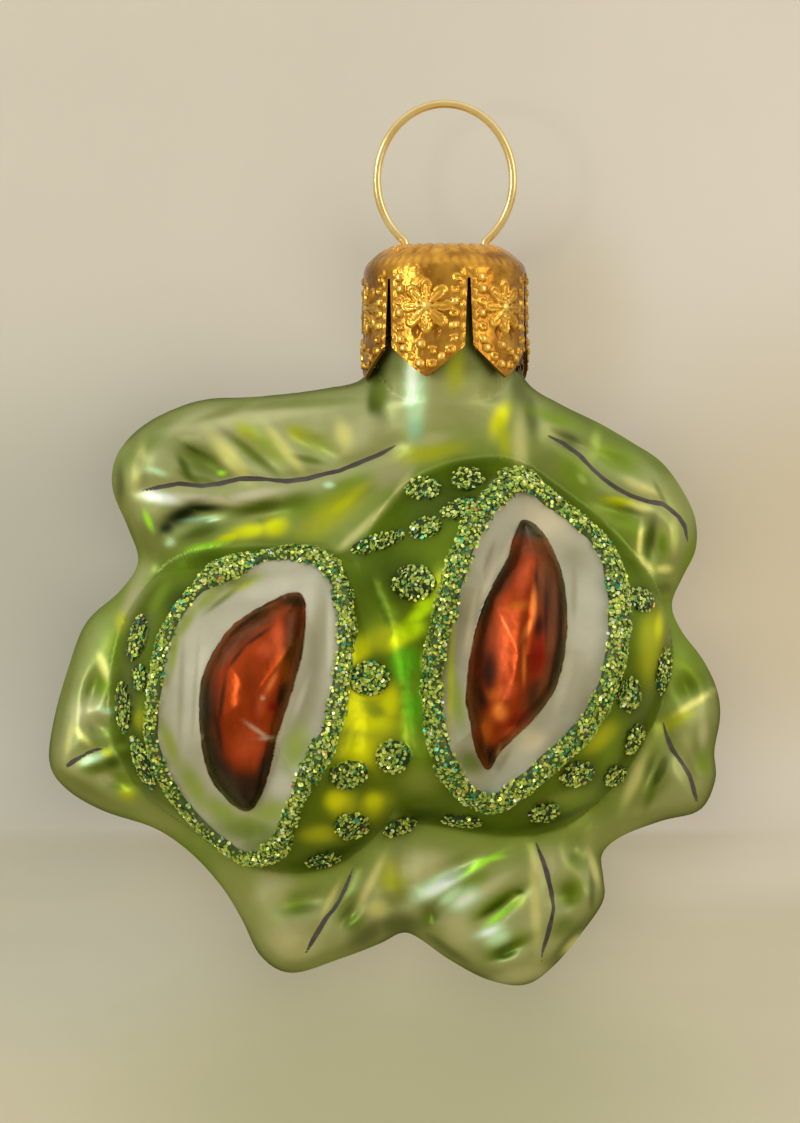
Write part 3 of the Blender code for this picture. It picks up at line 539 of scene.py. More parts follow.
# Strokes and airbrush spots, painted highlights, reflections and shade among them, in the order they are
# laid: colour, cover, and the spots. A spot is its place in the picture across and down, half its length and
# half its width in pixels, and its turn in degrees.
# Painted light and shade on the leaves: the white, mint, lime, teal and pale ridge strokes are painted
# highlights and reflections, the ink, deep and moss strokes in the dimples painted shade.
LEAF_WORK = [
    (SAND, 0.8, [
        (240, 425, 60, 16, 8), (272, 888, 18, 20, 90), (549, 863, 14, 14, 90), (390, 470, 24, 14, 20),
        (133, 600, 8, 34, -20), (289, 937, 20, 14, 0), (424, 868, 24, 14, 0),
    ]),
    (SAGE, 0.85, [
        (680, 500, 22, 50, 0), (240, 890, 14, 40, 25), (620, 830, 26, 12, 20), (440, 942, 34, 9, -35),
        (668, 560, 12, 30, 10), (120, 480, 10, 50, 0), (330, 960, 40, 8, 22), (155, 815, 34, 9, -28),
    ]),
    (FERN, 0.85, [
        (600, 436, 56, 15, -32), (146, 444, 34, 9, 42), (352, 916, 12, 16, 0), (564, 927, 14, 10, 20),
        (655, 458, 30, 10, -36), (347, 906, 10, 18, -20), (640, 430, 30, 8, -34), (520, 410, 14, 18, 0),
        (577, 861, 10, 10, 0),
    ]),
    (OLIVE, 0.85, [
        (215, 417, 48, 6, 26), (300, 404, 56, 5, 4), (150, 541, 14, 22, 20), (78, 785, 34, 7, -28),
        (560, 470, 30, 18, -40), (396, 885, 14, 22, 0), (655, 445, 26, 6, -32), (700, 750, 10, 30, -15),
        (66, 690, 5, 40, -12), (650, 790, 20, 10, 40), (350, 496, 26, 8, 28), (432, 902, 16, 16, 0),
    ]),
    (SHADE, 0.85, [
        (531, 415, 6, 22, 10), (378, 396, 9, 26, 0), (519, 390, 8, 18, 10), (597, 424, 30, 4, -28),
        (399, 924, 26, 11, 0), (367, 934, 22, 9, 35), (446, 948, 26, 4, -35), (120, 485, 4, 20, 0),
        (570, 940, 26, 5, 50), (689, 672, 7, 20, -25), (592, 890, 3, 20, 0), (355, 383, 16, 3, 15),
    ]),
    (LEAF, 0.85, [
        (315, 505, 40, 12, 18), (624, 521, 28, 13, -50), (615, 459, 26, 13, -30), (555, 418, 24, 6, -20),
        (687, 672, 18, 24, 0), (122, 783, 12, 9, -15), (117, 645, 8, 16, 0), (103, 683, 10, 10, 0),
        (576, 478, 14, 26, 30), (704, 762, 6, 13, 0), (345, 486, 24, 7, 25), (690, 560, 6, 20, -10),
    ]),
    (YELLOW, 0.95, [
        (250, 531, 18, 7, 10), (274, 527, 13, 9, 10), (230, 537, 14, 4, 18), (341, 506, 14, 4, 35),
        (500, 420, 8, 16, -20), (106, 753, 5, 4, 0), (620, 502, 15, 4, -10), (630, 503, 6, 3, -10),
    ]),
    (STRAW, 0.8, [
        (455, 376, 9, 14, 0), (127, 794, 8, 7, 0), (332, 514, 36, 13, 36), (676, 719, 17, 7, 35),
        (122, 622, 6, 10, 0), (350, 497, 22, 6, 35), (505, 440, 7, 16, 10), (430, 452, 30, 9, 10),
        (394, 876, 12, 14, 0),
    ]),
    (CREAM, 0.9, [
        (365, 526, 44, 4, 43), (402, 486, 14, 4, 56), (520, 450, 7, 34, 3), (638, 486, 16, 5, -28),
        (634, 780, 5, 26, -22), (370, 884, 26, 4, 64), (330, 900, 17, 3, 62), (594, 868, 3.5, 16, 15),
        (138, 470, 5, 22, -10), (535, 905, 5, 40, 3), (674, 536, 4, 14, 0), (70, 735, 3, 20, -10),
        (378, 909, 10, 8, 0), (572, 944, 12, 4, 45),
    ]),
    (PEARL, 0.9, [
        (90, 713, 17, 14, 0), (421, 866, 22, 12, 10), (296, 946, 18, 12, 0), (520, 975, 26, 7, 12),
        (355, 435, 12, 13, 0), (460, 930, 14, 16, 30), (703, 732, 5, 14, 0), (490, 887, 22, 5, 34),
        (105, 779, 9, 6, -20), (240, 421, 60, 6, 8),
    ]),
    (MOSS, 0.85, [(201, 461, 28, 13, -30)]),
    (LEAF, 0.9, [
        (473, 881, 18, 6, 33), (498, 903, 29, 8, 32), (507, 946, 25, 9, 27), (572, 891, 13, 14, 0),
        (291, 904, 16, 11, 0),
    ]),
    (PISTACHIO, 0.9, [
        (265, 444, 29, 10, -40), (312, 441, 24, 9, -30), (663, 542, 6, 13, 0), (518, 902, 8, 7, 0),
    ]),
    (STRAW, 0.7, [(245, 431, 10, 6, -40), (297, 433, 10, 6, -30)]),
    (BUTTER, 0.8, [(230, 458, 26, 7, -50), (285, 449, 26, 5, -52), (344, 436, 14, 8, -75)]),
    (BUTTER, 0.95, [
        (640, 507, 12, 3.5, -12), (665, 569, 7, 4, 0), (103, 666, 4, 12, 18), (640, 541, 2.5, 17, -5),
        (645, 563, 12, 3.5, -50), (695, 702, 18, 3.5, 32), (82, 736, 11, 3, -45),
    ]),
    (MOSS, 0.92, [
        (251, 453, 32, 4.5, -39), (190, 477, 14, 4, -30), (258, 507, 34, 6, 8), (294, 502, 18, 8, 20),
        (310, 460, 14, 3.5, -15), (652, 790, 4, 18, -20), (500, 902, 24, 5, 32), (509, 948, 19, 5, 27),
        (570, 895, 9, 11, 0), (684, 686, 12, 9, 30), (429, 919, 8, 7, 0), (97, 767, 14, 6, 10),
    ]),
    (DEEP, 0.92, [
        (184, 466, 4, 12, 30), (199, 453, 17, 2.5, -30), (650, 540, 5, 21, -8), (201, 532, 21, 6, 18),
        (113, 762, 8, 6, 0), (374, 404, 6, 13, 0), (493, 908, 14, 3, 34), (505, 955, 12, 4, 15),
        (520, 892, 5, 2.5, 0),
    ]),
    (FERN, 0.9, [(208, 463, 16, 6, -30), (206, 480, 12, 2.5, -20), (608, 432, 26, 7, -32)]),
    (SHADE, 0.7, [
        (567, 440, 13, 6, -22), (660, 493, 13, 2.2, -62), (141, 467, 6, 12, 10), (665, 588, 8, 5, 0),
    ]),
    (PISTACHIO, 0.7, [(594, 447, 15, 5, 78), (675, 537, 3, 12, 0), (582, 479, 6, 3, -50)]),
    (LEAF, 0.8, [(663, 546, 5, 13, 0)]),
    (MOSS, 0.7, [(380, 390, 9, 16, 0), (700, 680, 9, 12, 0), (352, 922, 10, 8, 0), (178, 600, 20, 14, 40)]),
    (OLIVE, 0.5, [(490, 390, 12, 16, 0), (662, 778, 8, 10, 0)]),
    (PEARL, 0.6, [(370, 424, 11, 10, 0), (432, 439, 18, 6, 10), (272, 898, 15, 13, 0)]),
    (BONE, 0.9, [(205, 499, 32, 4, -6), (252, 495, 26, 4.5, 10)]),
    (INK, 0.97, [(181, 515, 24, 8, 30), (199, 508, 24, 4, 0), (166, 528, 10, 7, 40)]),
    (TEAL, 0.6, [(198, 519, 14, 1.8, 6), (415, 425, 7, 14, 0)]),
    (LIME, 0.95, [
        (206, 546, 19, 3, 12), (476, 867, 26, 3, 30), (148, 520, 3, 10, 22), (222, 473, 4, 2.4, 0),
        (499, 916, 17, 3, 36), (490, 859, 14, 2.5, 10),
    ]),
    (MINT, 0.95, [
        (415, 392, 10, 28, 2), (452, 896, 13, 6, 32), (497, 938, 12, 8, 20), (158, 472, 9, 3, -20),
        (170, 543, 5, 3, 20), (213, 520, 6, 1.4, 10), (464, 899, 16, 9, 30), (490, 932, 15, 5, 17),
        (106, 711, 8, 3, -15), (436, 886, 24, 9, 32), (329, 485, 5, 3, 0), (92, 759, 11, 4, 20),
    ]),
    (WHITE, 0.97, [
        (412, 380, 5, 13, 0), (161, 498, 17, 5, -12), (440, 886, 20, 5, 32), (465, 900, 10, 4, 30),
        (489, 932, 8, 3, 17),
    ]),
]
# Painted light and shade on the husks: the acid, yellow and straw spots are painted highlights and
# reflections, most in the valley between them, and the deep and mist strokes painted shade.
HUSK_WORK = [
    (MIST, 0.6, [
        (130, 694, 6, 34, 0), (146, 780, 8, 24, 20), (146, 632, 5, 26, -18), (643, 708, 7, 30, -25),
        (600, 790, 40, 6, 35), (666, 660, 4, 34, 5),
    ]),
    (DEEP, 0.8, [
        (440, 502, 36, 18, 18), (390, 575, 34, 22, 20), (181, 604, 14, 8, 40), (345, 850, 30, 6, 12),
        (621, 741, 8, 10, 0), (560, 816, 40, 4, 18), (412, 816, 34, 6, 8),
    ]),
    (LEAF, 0.85, [
        (350, 548, 26, 8, 52), (175, 568, 26, 9, 22), (404, 478, 30, 7, 30), (414, 752, 15, 24, 0),
        (570, 803, 28, 7, 22), (142, 712, 5, 16, 0), (612, 742, 14, 24, -10), (160, 595, 5, 20, -30),
        (240, 862, 34, 6, 0), (388, 622, 22, 12, 30),
    ]),
    (STRAW, 0.9, [
        (384, 638, 18, 12, 20), (368, 728, 28, 36, 0), (652, 642, 12, 36, -4), (374, 808, 18, 14, 20),
        (345, 806, 14, 16, 0), (320, 834, 18, 8, 5), (437, 588, 6, 16, -15), (600, 738, 18, 9, 40),
        (141, 719, 6, 9, 0), (220, 856, 26, 5, -10),
    ]),
    (YELLOW, 0.95, [
        (357, 650, 11, 13, 0), (349, 710, 11, 15, 0), (389, 700, 9, 16, 0), (360, 752, 17, 14, 10),
        (372, 694, 20, 6, 0), (402, 638, 15, 7, 42), (336, 800, 10, 9, 30), (659, 626, 4, 13, -6),
        (374, 802, 8, 8, 0), (370, 722, 20, 10, 0),
    ]),
    (VIVID, 0.95, [(407, 664, 15, 17, 0), (414, 698, 10, 26, 0)]),
    (LEAF, 0.7, [(414, 684, 4, 16, -8), (376, 712, 8, 6, 0)]),
    (CELERY, 0.6, [(420, 781, 20, 13, 0), (560, 800, 26, 6, 22)]),
    (DEEP, 0.85, [(178, 600, 15, 10, 40), (384, 608, 28, 4, -72)]),
    (ACID, 0.97, [
        (420, 613, 22, 6, 42), (411, 630, 13, 9, 25), (424, 664, 3, 9, 0), (424, 604, 10, 6, 42),
    ]),
    (BONE, 0.95, [(501, 485, 8, 6, 0)]),
]
# Painted light and shade on the white fields: the ash strokes are painted shade and reflection, the chalk and
# ivory strokes painted sheen on the enamel's white.
FIELD_WORK = [
    (ASH, 0.85, [
        (318, 640, 8, 50, -4), (309, 700, 9, 26, -15), (590, 690, 10, 50, -14), (452, 640, 12, 60, -14),
        (560, 740, 24, 10, 40), (578, 560, 16, 12, -40), (305, 694, 4, 16, -20),
    ]),
    (CHALK, 0.9, [
        (190, 680, 16, 60, 0), (588, 625, 16, 50, 0), (565, 680, 5, 34, -16), (330, 640, 3, 40, 0),
        (270, 588, 34, 8, 14), (518, 744, 18, 12, 30), (300, 700, 3, 20, -20),
    ]),
    (ASH, 0.7, [
        (181, 690, 3, 50, -2), (574, 590, 3, 24, 0), (195, 690, 2, 40, -4), (503, 762, 3, 14, -30),
    ]),
    (CELERY, 0.95, [
        (186, 622, 22, 5, 58), (210, 597, 20, 6, 42), (243, 581, 20, 5, 18), (296, 748, 13, 24, -12),
        (170, 745, 6, 26, 20), (194, 786, 9, 28, 30), (222, 812, 26, 10, -35), (250, 824, 22, 9, -10),
        (456, 700, 8, 30, 10), (174, 650, 4, 30, -10), (300, 806, 18, 12, 30), (450, 610, 3, 40, -14),
        (270, 812, 22, 12, 0),
    ]),
    (STRAW, 0.8, [(240, 588, 17, 2.5, 22), (451, 676, 3, 60, -2)]),
    (FERN, 0.92, [
        (250, 832, 38, 11, -8), (262, 844, 20, 10, 0), (445, 650, 4, 40, -8), (470, 762, 14, 10, -40),
        (222, 600, 18, 2.5, 38),
    ]),
    (CHALK, 0.9, [(281, 784, 12, 10, 0), (300, 610, 10, 24, -20)]),
    (CLAY, 0.4, [(489, 556, 3, 14, -20)]),
    (TEAL, 0.3, [(489, 792, 12, 6, 0)]),
    (IVORY, 0.95, [
        (471, 622, 3, 26, -10), (488, 584, 3, 22, -22), (506, 552, 3, 18, -25), (543, 520, 24, 18, -30),
        (534, 740, 12, 8, 30),
    ]),
]
# Painted light and shade on the nuts: the glow and rose strokes are painted highlights and glints, the ember
# ones the lacquer's orange with painted highlight, and the soot, umber and pitch ones the dark brushed edges
# with painted shade.
NUT_WORK = [
    (BARK, 0.92, [
        (241, 636, 46, 8, 45), (208, 706, 9, 44, 0), (292, 634, 9, 36, -4), (300, 660, 6, 30, -8),
        (284, 698, 7, 24, -14), (554, 596, 14, 42, 4), (556, 660, 9, 36, -12), (500, 588, 8, 34, -28),
        (484, 640, 7, 30, -12), (476, 696, 8, 30, 4), (536, 704, 10, 14, -30), (274, 752, 6, 14, 0),
    ]),
    (CLAY, 0.8, [
        (229, 654, 19, 3, 55), (258, 626, 22, 3.5, 33), (291, 636, 4, 20, 0), (543, 578, 4, 22, 0),
        (555, 604, 3, 22, 3), (549, 642, 3.5, 15, -8), (528, 550, 11, 7, 0), (475, 712, 4, 20, 10),
        (484, 750, 6, 10, 10),
    ]),
    (SOOT, 0.9, [
        (222, 700, 2, 26, -8), (237, 656, 16, 2, 52), (257, 637, 16, 2, 35), (204, 714, 4.5, 34, 2),
        (219, 737, 3, 26, 8), (216, 766, 12, 24, 20), (294, 601, 16, 6, -8), (282, 693, 3, 13, -20),
        (565, 588, 4, 28, 4), (560, 668, 6, 28, -14), (499, 576, 7, 30, -30), (484, 608, 6, 18, -25),
        (491, 668, 8, 18, -4), (536, 586, 2, 22, -2), (248, 620, 20, 2, 40),
    ]),
    (UMBER, 0.97, [
        (242, 791, 28, 20, 0), (266, 766, 7, 22, -15), (222, 784, 12, 18, 20), (490, 672, 5, 10, 0),
        (560, 690, 6, 14, -25),
    ]),
    (PITCH, 0.9, [
        (212, 770, 2, 16, 20), (220, 772, 2, 18, 22), (260, 785, 5, 12, 0), (228, 790, 3, 14, 10),
        (242, 800, 12, 8, 0), (539, 627, 5, 13, -6), (491, 757, 5, 13, 10), (483, 606, 2, 16, -24),
        (489, 660, 3, 6, 0),
    ]),
    (RUST, 0.85, [(240, 809, 9, 4, 0), (266, 710, 12, 4, 0), (514, 598, 14, 7, 10)]),
    (COPPER, 0.85, [
        (283, 668, 6, 13, 0), (486, 728, 6, 12, 0), (520, 606, 10, 5, 10), (496, 694, 10, 6, 10),
    ]),
    (WINE, 0.95, [
        (538, 656, 9, 19, -10), (519, 722, 13, 8, 35), (470, 670, 2, 16, -4), (273, 707, 5, 5, 0),
    ]),
    (EMBER, 0.85, [
        (277, 641, 6, 15, -5), (268, 650, 8, 8, 0), (271, 685, 4, 14, -28), (260, 708, 5, 10, -10),
        (249, 746, 14, 17, -8), (502, 646, 13, 34, -6), (524, 574, 6, 18, -12), (512, 731, 7, 4, 30),
        (508, 690, 10, 8, 40),
    ]),
    (GLOW, 0.8, [
        (534, 604, 2.6, 15, -2), (527, 630, 3, 11, -24), (524, 661, 1.8, 20, 0), (500, 712, 7, 8, 0),
        (272, 682, 2, 9, -28),
    ]),
    (RUST, 0.75, [(512, 662, 4, 12, 0), (515, 645, 10, 24, -4)]),
    (UMBER, 0.95, [
        (244, 796, 22, 18, 0), (226, 778, 9, 14, 20), (264, 770, 6, 16, -15), (212, 746, 6, 18, 16),
        (206, 712, 5, 26, 4),
    ]),
    (SOOT, 0.85, [(490, 670, 7, 19, -4), (484, 700, 4, 10, 10), (536, 690, 8, 12, -30)]),
    (CLAY, 0.75, [(551, 640, 4, 40, -4), (546, 680, 6, 24, -16)]),
    (SOOT, 0.75, [(560, 630, 3, 50, -2), (546, 612, 1.6, 34, 0), (553, 668, 2, 30, -10)]),
    (SLATE, 0.95, [(531, 530, 20, 10, -8)]),
    (PITCH, 0.6, [(524, 524, 6, 3, 20), (540, 536, 8, 2, -10)]),
    (ROSE, 0.85, [
        (258, 731, 14, 1.8, -35), (268, 738, 8, 2, 5), (262.7, 698, 2, 2, 0), (201, 736, 1.6, 2.5, 0),
        (283, 595, 2.2, 1.5, 0), (498, 756, 1.4, 9, -10),
    ]),
]


def daylight(colour):
    """A pot's colour in the even numbers that light adds up in."""
    return ((np.array(colour) / 255 + 0.055) / 1.055) ** 2.4


# One pixel, and the camera's place, in millimetres.
PIXEL_MM = PIXEL / MM
EYE = (-3.825, -380, -38.55)


def in_picture(x, y, z):
    """Where points, in millimetres, stand in the picture, in pixels."""
    scale = PIXEL_MM * (1 - y / EYE[1])
    return PICTURE_WIDTH / 2 + (x - EYE[0]) / scale, PICTURE_HEIGHT / 2 - (z - EYE[2]) / scale


def wash(colours, pot, cover):
    """A coat of one pot's colour over the colours below, as thick as the cover at each point."""
    colours += (daylight(pot) - colours) * cover[:, None]


def lay(colours, across, down, work):
    """Lays each stroke over the colours below, with a soft edge."""
    for pot, cover, spots in work:
        strength = np.zeros_like(across)
        for spot_across, spot_down, length, width, turn in spots:
            spot = (spot_across, -spot_down, length, width, turn)
            strength = np.maximum(strength, np.exp(-0.7 * ellipse(across, -down, spot) ** 1.5))
        wash(colours, pot, cover * strength)


def painted(ground, across, down, work):
    """A coat of the ground colour with the strokes laid on it."""
    colours = np.tile(daylight(ground), (len(across), 1))
    lay(colours, across, down, work)
    return colours


def soft_step(value, low, high):
    t = np.clip((value - low) / (high - low), 0, 1)
    return t * t * (3 - 2 * t)


across, down = in_picture(px, py, pz)
leaf_colours = painted(LEAF_GROUND, across, down, [])
# Painted shade along the outline: an olive band darkens the leaves towards the rolled edge, and a darker one
# the very rim.
rim = depth_inside(px, pz, OUTLINE)
wash(leaf_colours, OLIVE, 0.8 * (1 - soft_step(rim, 0.2, 1.7)))
wash(leaf_colours, RIM_SHADE, 0.9 * (1 - soft_step(rim, -0.2, 0.55)))
front_only = on_front.astype(float)
airbrush = soft_step(guides["husk_depth"], -5.0, 0.3) * front_only
wash(leaf_colours, LEAF, 0.75 * airbrush)
# The back is airbrushed more simply: pearl along the veins, green between them and round the middle, and
# faint clouds over it all.
plain_leaf = leaf_colours.copy()
between = 1 - np.exp(-((back_rib / 3.0) ** 2))
hub = np.exp(-((np.hypot(px - BACK_HUB[0], pz - BACK_HUB[1]) / 11.0) ** 2))
wash(plain_leaf, FERN, 0.55 * between)
wash(plain_leaf, LEAF, 0.7 * hub)
wash(plain_leaf, PEARL, 0.6 * np.exp(-((back_rib / 1.1) ** 2)) * (1 - hub))
clouds = np.sin(0.5 * px + 1.4 * np.sin(0.33 * pz)) * np.sin(0.46 * pz + 1.1 * np.sin(0.4 * px + 1.0))
wash(plain_leaf, STRAW, 0.2 * np.clip(clouds, 0, 1))
wash(plain_leaf, MOSS, 0.2 * np.clip(-clouds, 0, 1))
lay(leaf_colours, across, down, LEAF_WORK)
leaf_colours[~on_front] = plain_leaf[~on_front]
husk_colours = painted(HUSK_GROUND, across, down, HUSK_WORK)
field_colours = painted(FIELD_GROUND, across, down, FIELD_WORK)
nut_colours = painted(RUST, across, down, NUT_WORK)
# The colours of leaves, husks and fields in one, with their painted highlights and shade.
paint_and_light = leaf_colours
paint_and_light += (husk_colours - paint_and_light) * soft_step(guides["husk_depth"], -0.5, 0.9)[:, None]
# Painted shade: the lacquer is coloured darker where it runs up to the glue rings and dots.
beside_ring = np.min([np.abs(depth_inside(px, pz, ring)) for ring in (RIGHT_RING, LEFT_RING)], 0)
beside_dot = np.full_like(px, -FAR)
for spot in DOTS:
    narrow = min(spot[2], spot[3])
    beside_dot = np.minimum(beside_dot, ellipse(px, pz, spot) ** 0.5 * narrow - narrow)
ring_painted_shade = 0.3 * np.exp(-np.clip(beside_ring - 0.8, 0, None) / 0.5)
dot_painted_shade = 0.45 * np.exp(-np.clip(beside_dot, 0, None) / 0.35)
paint_and_light *= (1 - np.maximum(ring_painted_shade, dot_painted_shade) * front_only)[:, None]
paint_and_light += (field_colours - paint_and_light) * soft_step(guides["field_depth"], 0.0, 0.5)[:, None]


def mark_points(mesh, name, values):
    """Gives each point of a mesh a number or a colour."""
    if values.ndim == 1:
        mesh.attributes.new(name, "FLOAT", "POINT").data.foreach_set("value", values.astype(np.float32))
    else:
        rgba = np.concatenate([values, np.ones((len(values), 1))], 1).astype(np.float32)
        mesh.attributes.new(name, "FLOAT_COLOR", "POINT").data.foreach_set("color", rgba.ravel())


for name, values in (*guides.items(), ("paint_and_light", paint_and_light), ("nut_paint_and_light", nut_colours)):
    mark_points(glass.data, name, values)

# The paint: satin pearl green on the leaves, clear green lacquer on the husks, white enamel in the fields,
# clear red-brown on the nuts, and thin dark brush lines on the midribs. All but the enamel let the silver
# shine through.
RIB_PAINT = (0.045, 0.034, 0.032)
RIB_PAINT_THIN = (0.12, 0.1, 0.09)
NUT_EDGE = (0.035, 0.012, 0.008)
GLUE = (0.02, 0.035, 0.01)
LACQUER_TINT = (0.9, 0.95, 0.7, 1.0)


def new_finish(name):
    """A new material, its nodes and the inputs of its surface."""
    material = bpy.data.materials.new(name)
    material.use_nodes = True
    tree = material.node_tree
    return material, tree, tree.nodes["Principled BSDF"].inputs


def feed(tree, socket, value):
    """Links a socket to another one, or sets it to a number or a colour."""
    if isinstance(value, bpy.types.NodeSocket):
        tree.links.new(value, socket)
    else:
        socket.default_value = (*value, 1.0) if isinstance(value, tuple) else value


def marked(tree, name, output="Fac"):
    """The number, or with "Color" the colour, that the mesh's points carry under a name."""
    node = tree.nodes.new("ShaderNodeAttribute")
    node.attribute_name = name
    return node.outputs[output]


def spread(tree, value, span, to_low, to_high, step="LINEAR"):
    """A value moved from its span to another one."""
    node = tree.nodes.new("ShaderNodeMapRange")
    node.interpolation_type = step
    for name, bound in zip(("From Min", "From Max", "To Min", "To Max"), (*span, to_low, to_high)):
        node.inputs[name].default_value = bound
    tree.links.new(value, node.inputs["Value"])
    return node.outputs["Result"]


def noise(tree, scale, detail, low, high, stretch=(1.0, 1.0, 1.0)):
    """A noise of the given size on the object's own coordinates, spread between two values."""
    place = tree.nodes.new("ShaderNodeTexCoord")
    turn = tree.nodes.new("ShaderNodeMapping")
    turn.inputs["Scale"].default_value = stretch
    field = tree.nodes.new("ShaderNodeTexNoise")
    field.inputs["Scale"].default_value = scale
    field.inputs["Detail"].default_value = detail
    tree.links.new(place.outputs["Object"], turn.inputs["Vector"])
    tree.links.new(turn.outputs["Vector"], field.inputs["Vector"])
    return spread(tree, field.outputs["Fac"], (0.3, 0.7), low, high)


def ramp(tree, value, low, high, to_low=0.0, to_high=1.0):
    """A smooth step of a value."""
    return spread(tree, value, (low, high), to_low, to_high, "SMOOTHSTEP")


def combine(tree, operation, a, b):
    """Two numbers put together. Either may be a socket."""
    node = tree.nodes.new("ShaderNodeMath")
    node.operation = operation
    feed(tree, node.inputs[0], a)
    feed(tree, node.inputs[1], b)
    return node.outputs["Value"]


def layer(tree, factor, under, over, kind="RGBA"):
    """One colour, or with "FLOAT" one number, laid over another. Each may be a socket."""
    node = tree.nodes.new("ShaderNodeMix")
    node.data_type = kind
    tree.links.new(factor, node.inputs["Factor"])
    feed(tree, node.inputs["A"], under)
    feed(tree, node.inputs["B"], over)
    return node.outputs["Result"]


def shaded(tree, colour, amount):
    """A colour made lighter or darker by a number round one."""
    node = tree.nodes.new("ShaderNodeVectorMath")
    node.operation = "SCALE"
    tree.links.new(colour, node.inputs[0])
    tree.links.new(amount, node.inputs["Scale"])
    return node.outputs["Vector"]


def uneven(tree, surface, strength, distance, height):
    """A fine unevenness of the surface, its height in metres."""
    bump = tree.nodes.new("ShaderNodeBump")
    bump.inputs["Strength"].default_value = strength
    bump.inputs["Distance"].default_value = distance
    tree.links.new(height, bump.inputs["Height"])
    tree.links.new(bump.outputs["Normal"], surface["Normal"])


paint, tree, surface = new_finish("painted_silvered_glass")
surface["Specular Tint"].default_value = LACQUER_TINT
surface["IOR"].default_value = 1.5
surface["Specular IOR Level"].default_value = 0.3
wobble = noise(tree, 900.0, 2.0, -0.06, 0.06)
nut_depth = combine(tree, "ADD", marked(tree, "nut_depth"), wobble)
in_nut = ramp(tree, nut_depth, -0.1, 0.06)
streaks = noise(tree, 700.0, 4.0, 0.72, 1.22, (1.0, 1.0, 0.22))
nut_colour = shaded(tree, marked(tree, "nut_paint_and_light", "Color"), streaks)
nut_rim = ramp(tree, nut_depth, 0.06, 0.34, 1.0, 0.0)
nut_rim = combine(tree, "MULTIPLY", nut_rim, noise(tree, 330.0, 2.0, -0.1, 0.45))
nut_colour = layer(tree, nut_rim, nut_colour, NUT_EDGE)
thick = combine(tree, "ADD", marked(tree, "rib_distance"), noise(tree, 500.0, 2.0, -0.05, 0.05))
off_husk = ramp(tree, marked(tree, "husk_depth"), -0.2, 0.2, 1.0, 0.0)
on_rib = combine(tree, "MULTIPLY", ramp(tree, thick, 0.15, 0.23, 1.0, 0.0), off_husk)
rib_streaks = noise(tree, 900.0, 3.0, 0.0, 1.0, (0.3, 1.0, 1.0))
on_glue = ramp(tree, marked(tree, "glue_depth"), 0.0, 0.05)
on_husk = ramp(tree, marked(tree, "husk_depth"), -0.4, 0.8)
in_field = ramp(tree, marked(tree, "field_depth"), 0.0, 0.5)
colour = shaded(tree, marked(tree, "paint_and_light", "Color"), noise(tree, 420.0, 4.0, 0.94, 1.06))
colour = layer(tree, in_nut, colour, nut_colour)
colour = layer(tree, on_rib, colour, layer(tree, rib_streaks, RIB_PAINT, RIB_PAINT_THIN))
tree.links.new(layer(tree, on_glue, colour, GLUE), surface["Base Color"])
# How far the silver shows and how rough the coat is, on the leaf, then the husk, field, nut, rib and glue.
metal, rough = 0.68, 0.45
for place, place_metal in ((on_husk, 0.74), (in_field, 0.0), (in_nut, 0.85), (on_rib, 0.1), (on_glue, 0.2)):
    metal = layer(tree, place, metal, place_metal, "FLOAT")
for place, place_rough in ((on_husk, 0.35), (in_field, 0.3), (in_nut, 0.27), (on_rib, 0.3)):
    rough = layer(tree, place, rough, place_rough, "FLOAT")
rough = combine(tree, "ADD", rough, noise(tree, 300.0, 3.0, -0.04, 0.04))
tree.links.new(metal, surface["Metallic"])
tree.links.new(rough, surface["Roughness"])
uneven(tree, surface, 0.12, 0.0006, noise(tree, 240.0, 3.0, 0.0, 1.0))
glass.data.materials.clear()
glass.data.materials.append(paint)
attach(glass, "root")
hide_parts("glass_body")


# The crown cap.
# Thin brass-coloured sheet, stamped with a star and beaded borders on each of its six pointed lobes and
# with a scalloped crest round its top, then drawn into a cup that grips the neck. Two holes let the wire
# through.
CAP = 6.9
SHEET = 0.32
SLIT_TOP = -14.8
LOBE_SIDE = -20.5
LOBE_TIP = -23.1
LOBES = 6
FIRST_LOBE = math.radians(-103.6)
LEG_X = 3.35
HOLE = 0.62
STAR_Z = -17.2
COLUMNS = 56
STUD = 0.33
HOLLOWS = [(1.2, -14.95, 0.6, 0.5), (1.75, -17.2, 0.35, 0.3), (0.85, -19.3, 0.42, 0.75)]
crown_profile = [
    (0.02, -11.98), (1.5, -11.98), (3.0, -12.0), (3.6, -11.9), (4.1, -11.88), (4.8, -12.12), (5.6, -12.42),
    (6.1, -12.78), (6.5, -13.2), (6.78, -13.6), (CAP, -14.0),
]


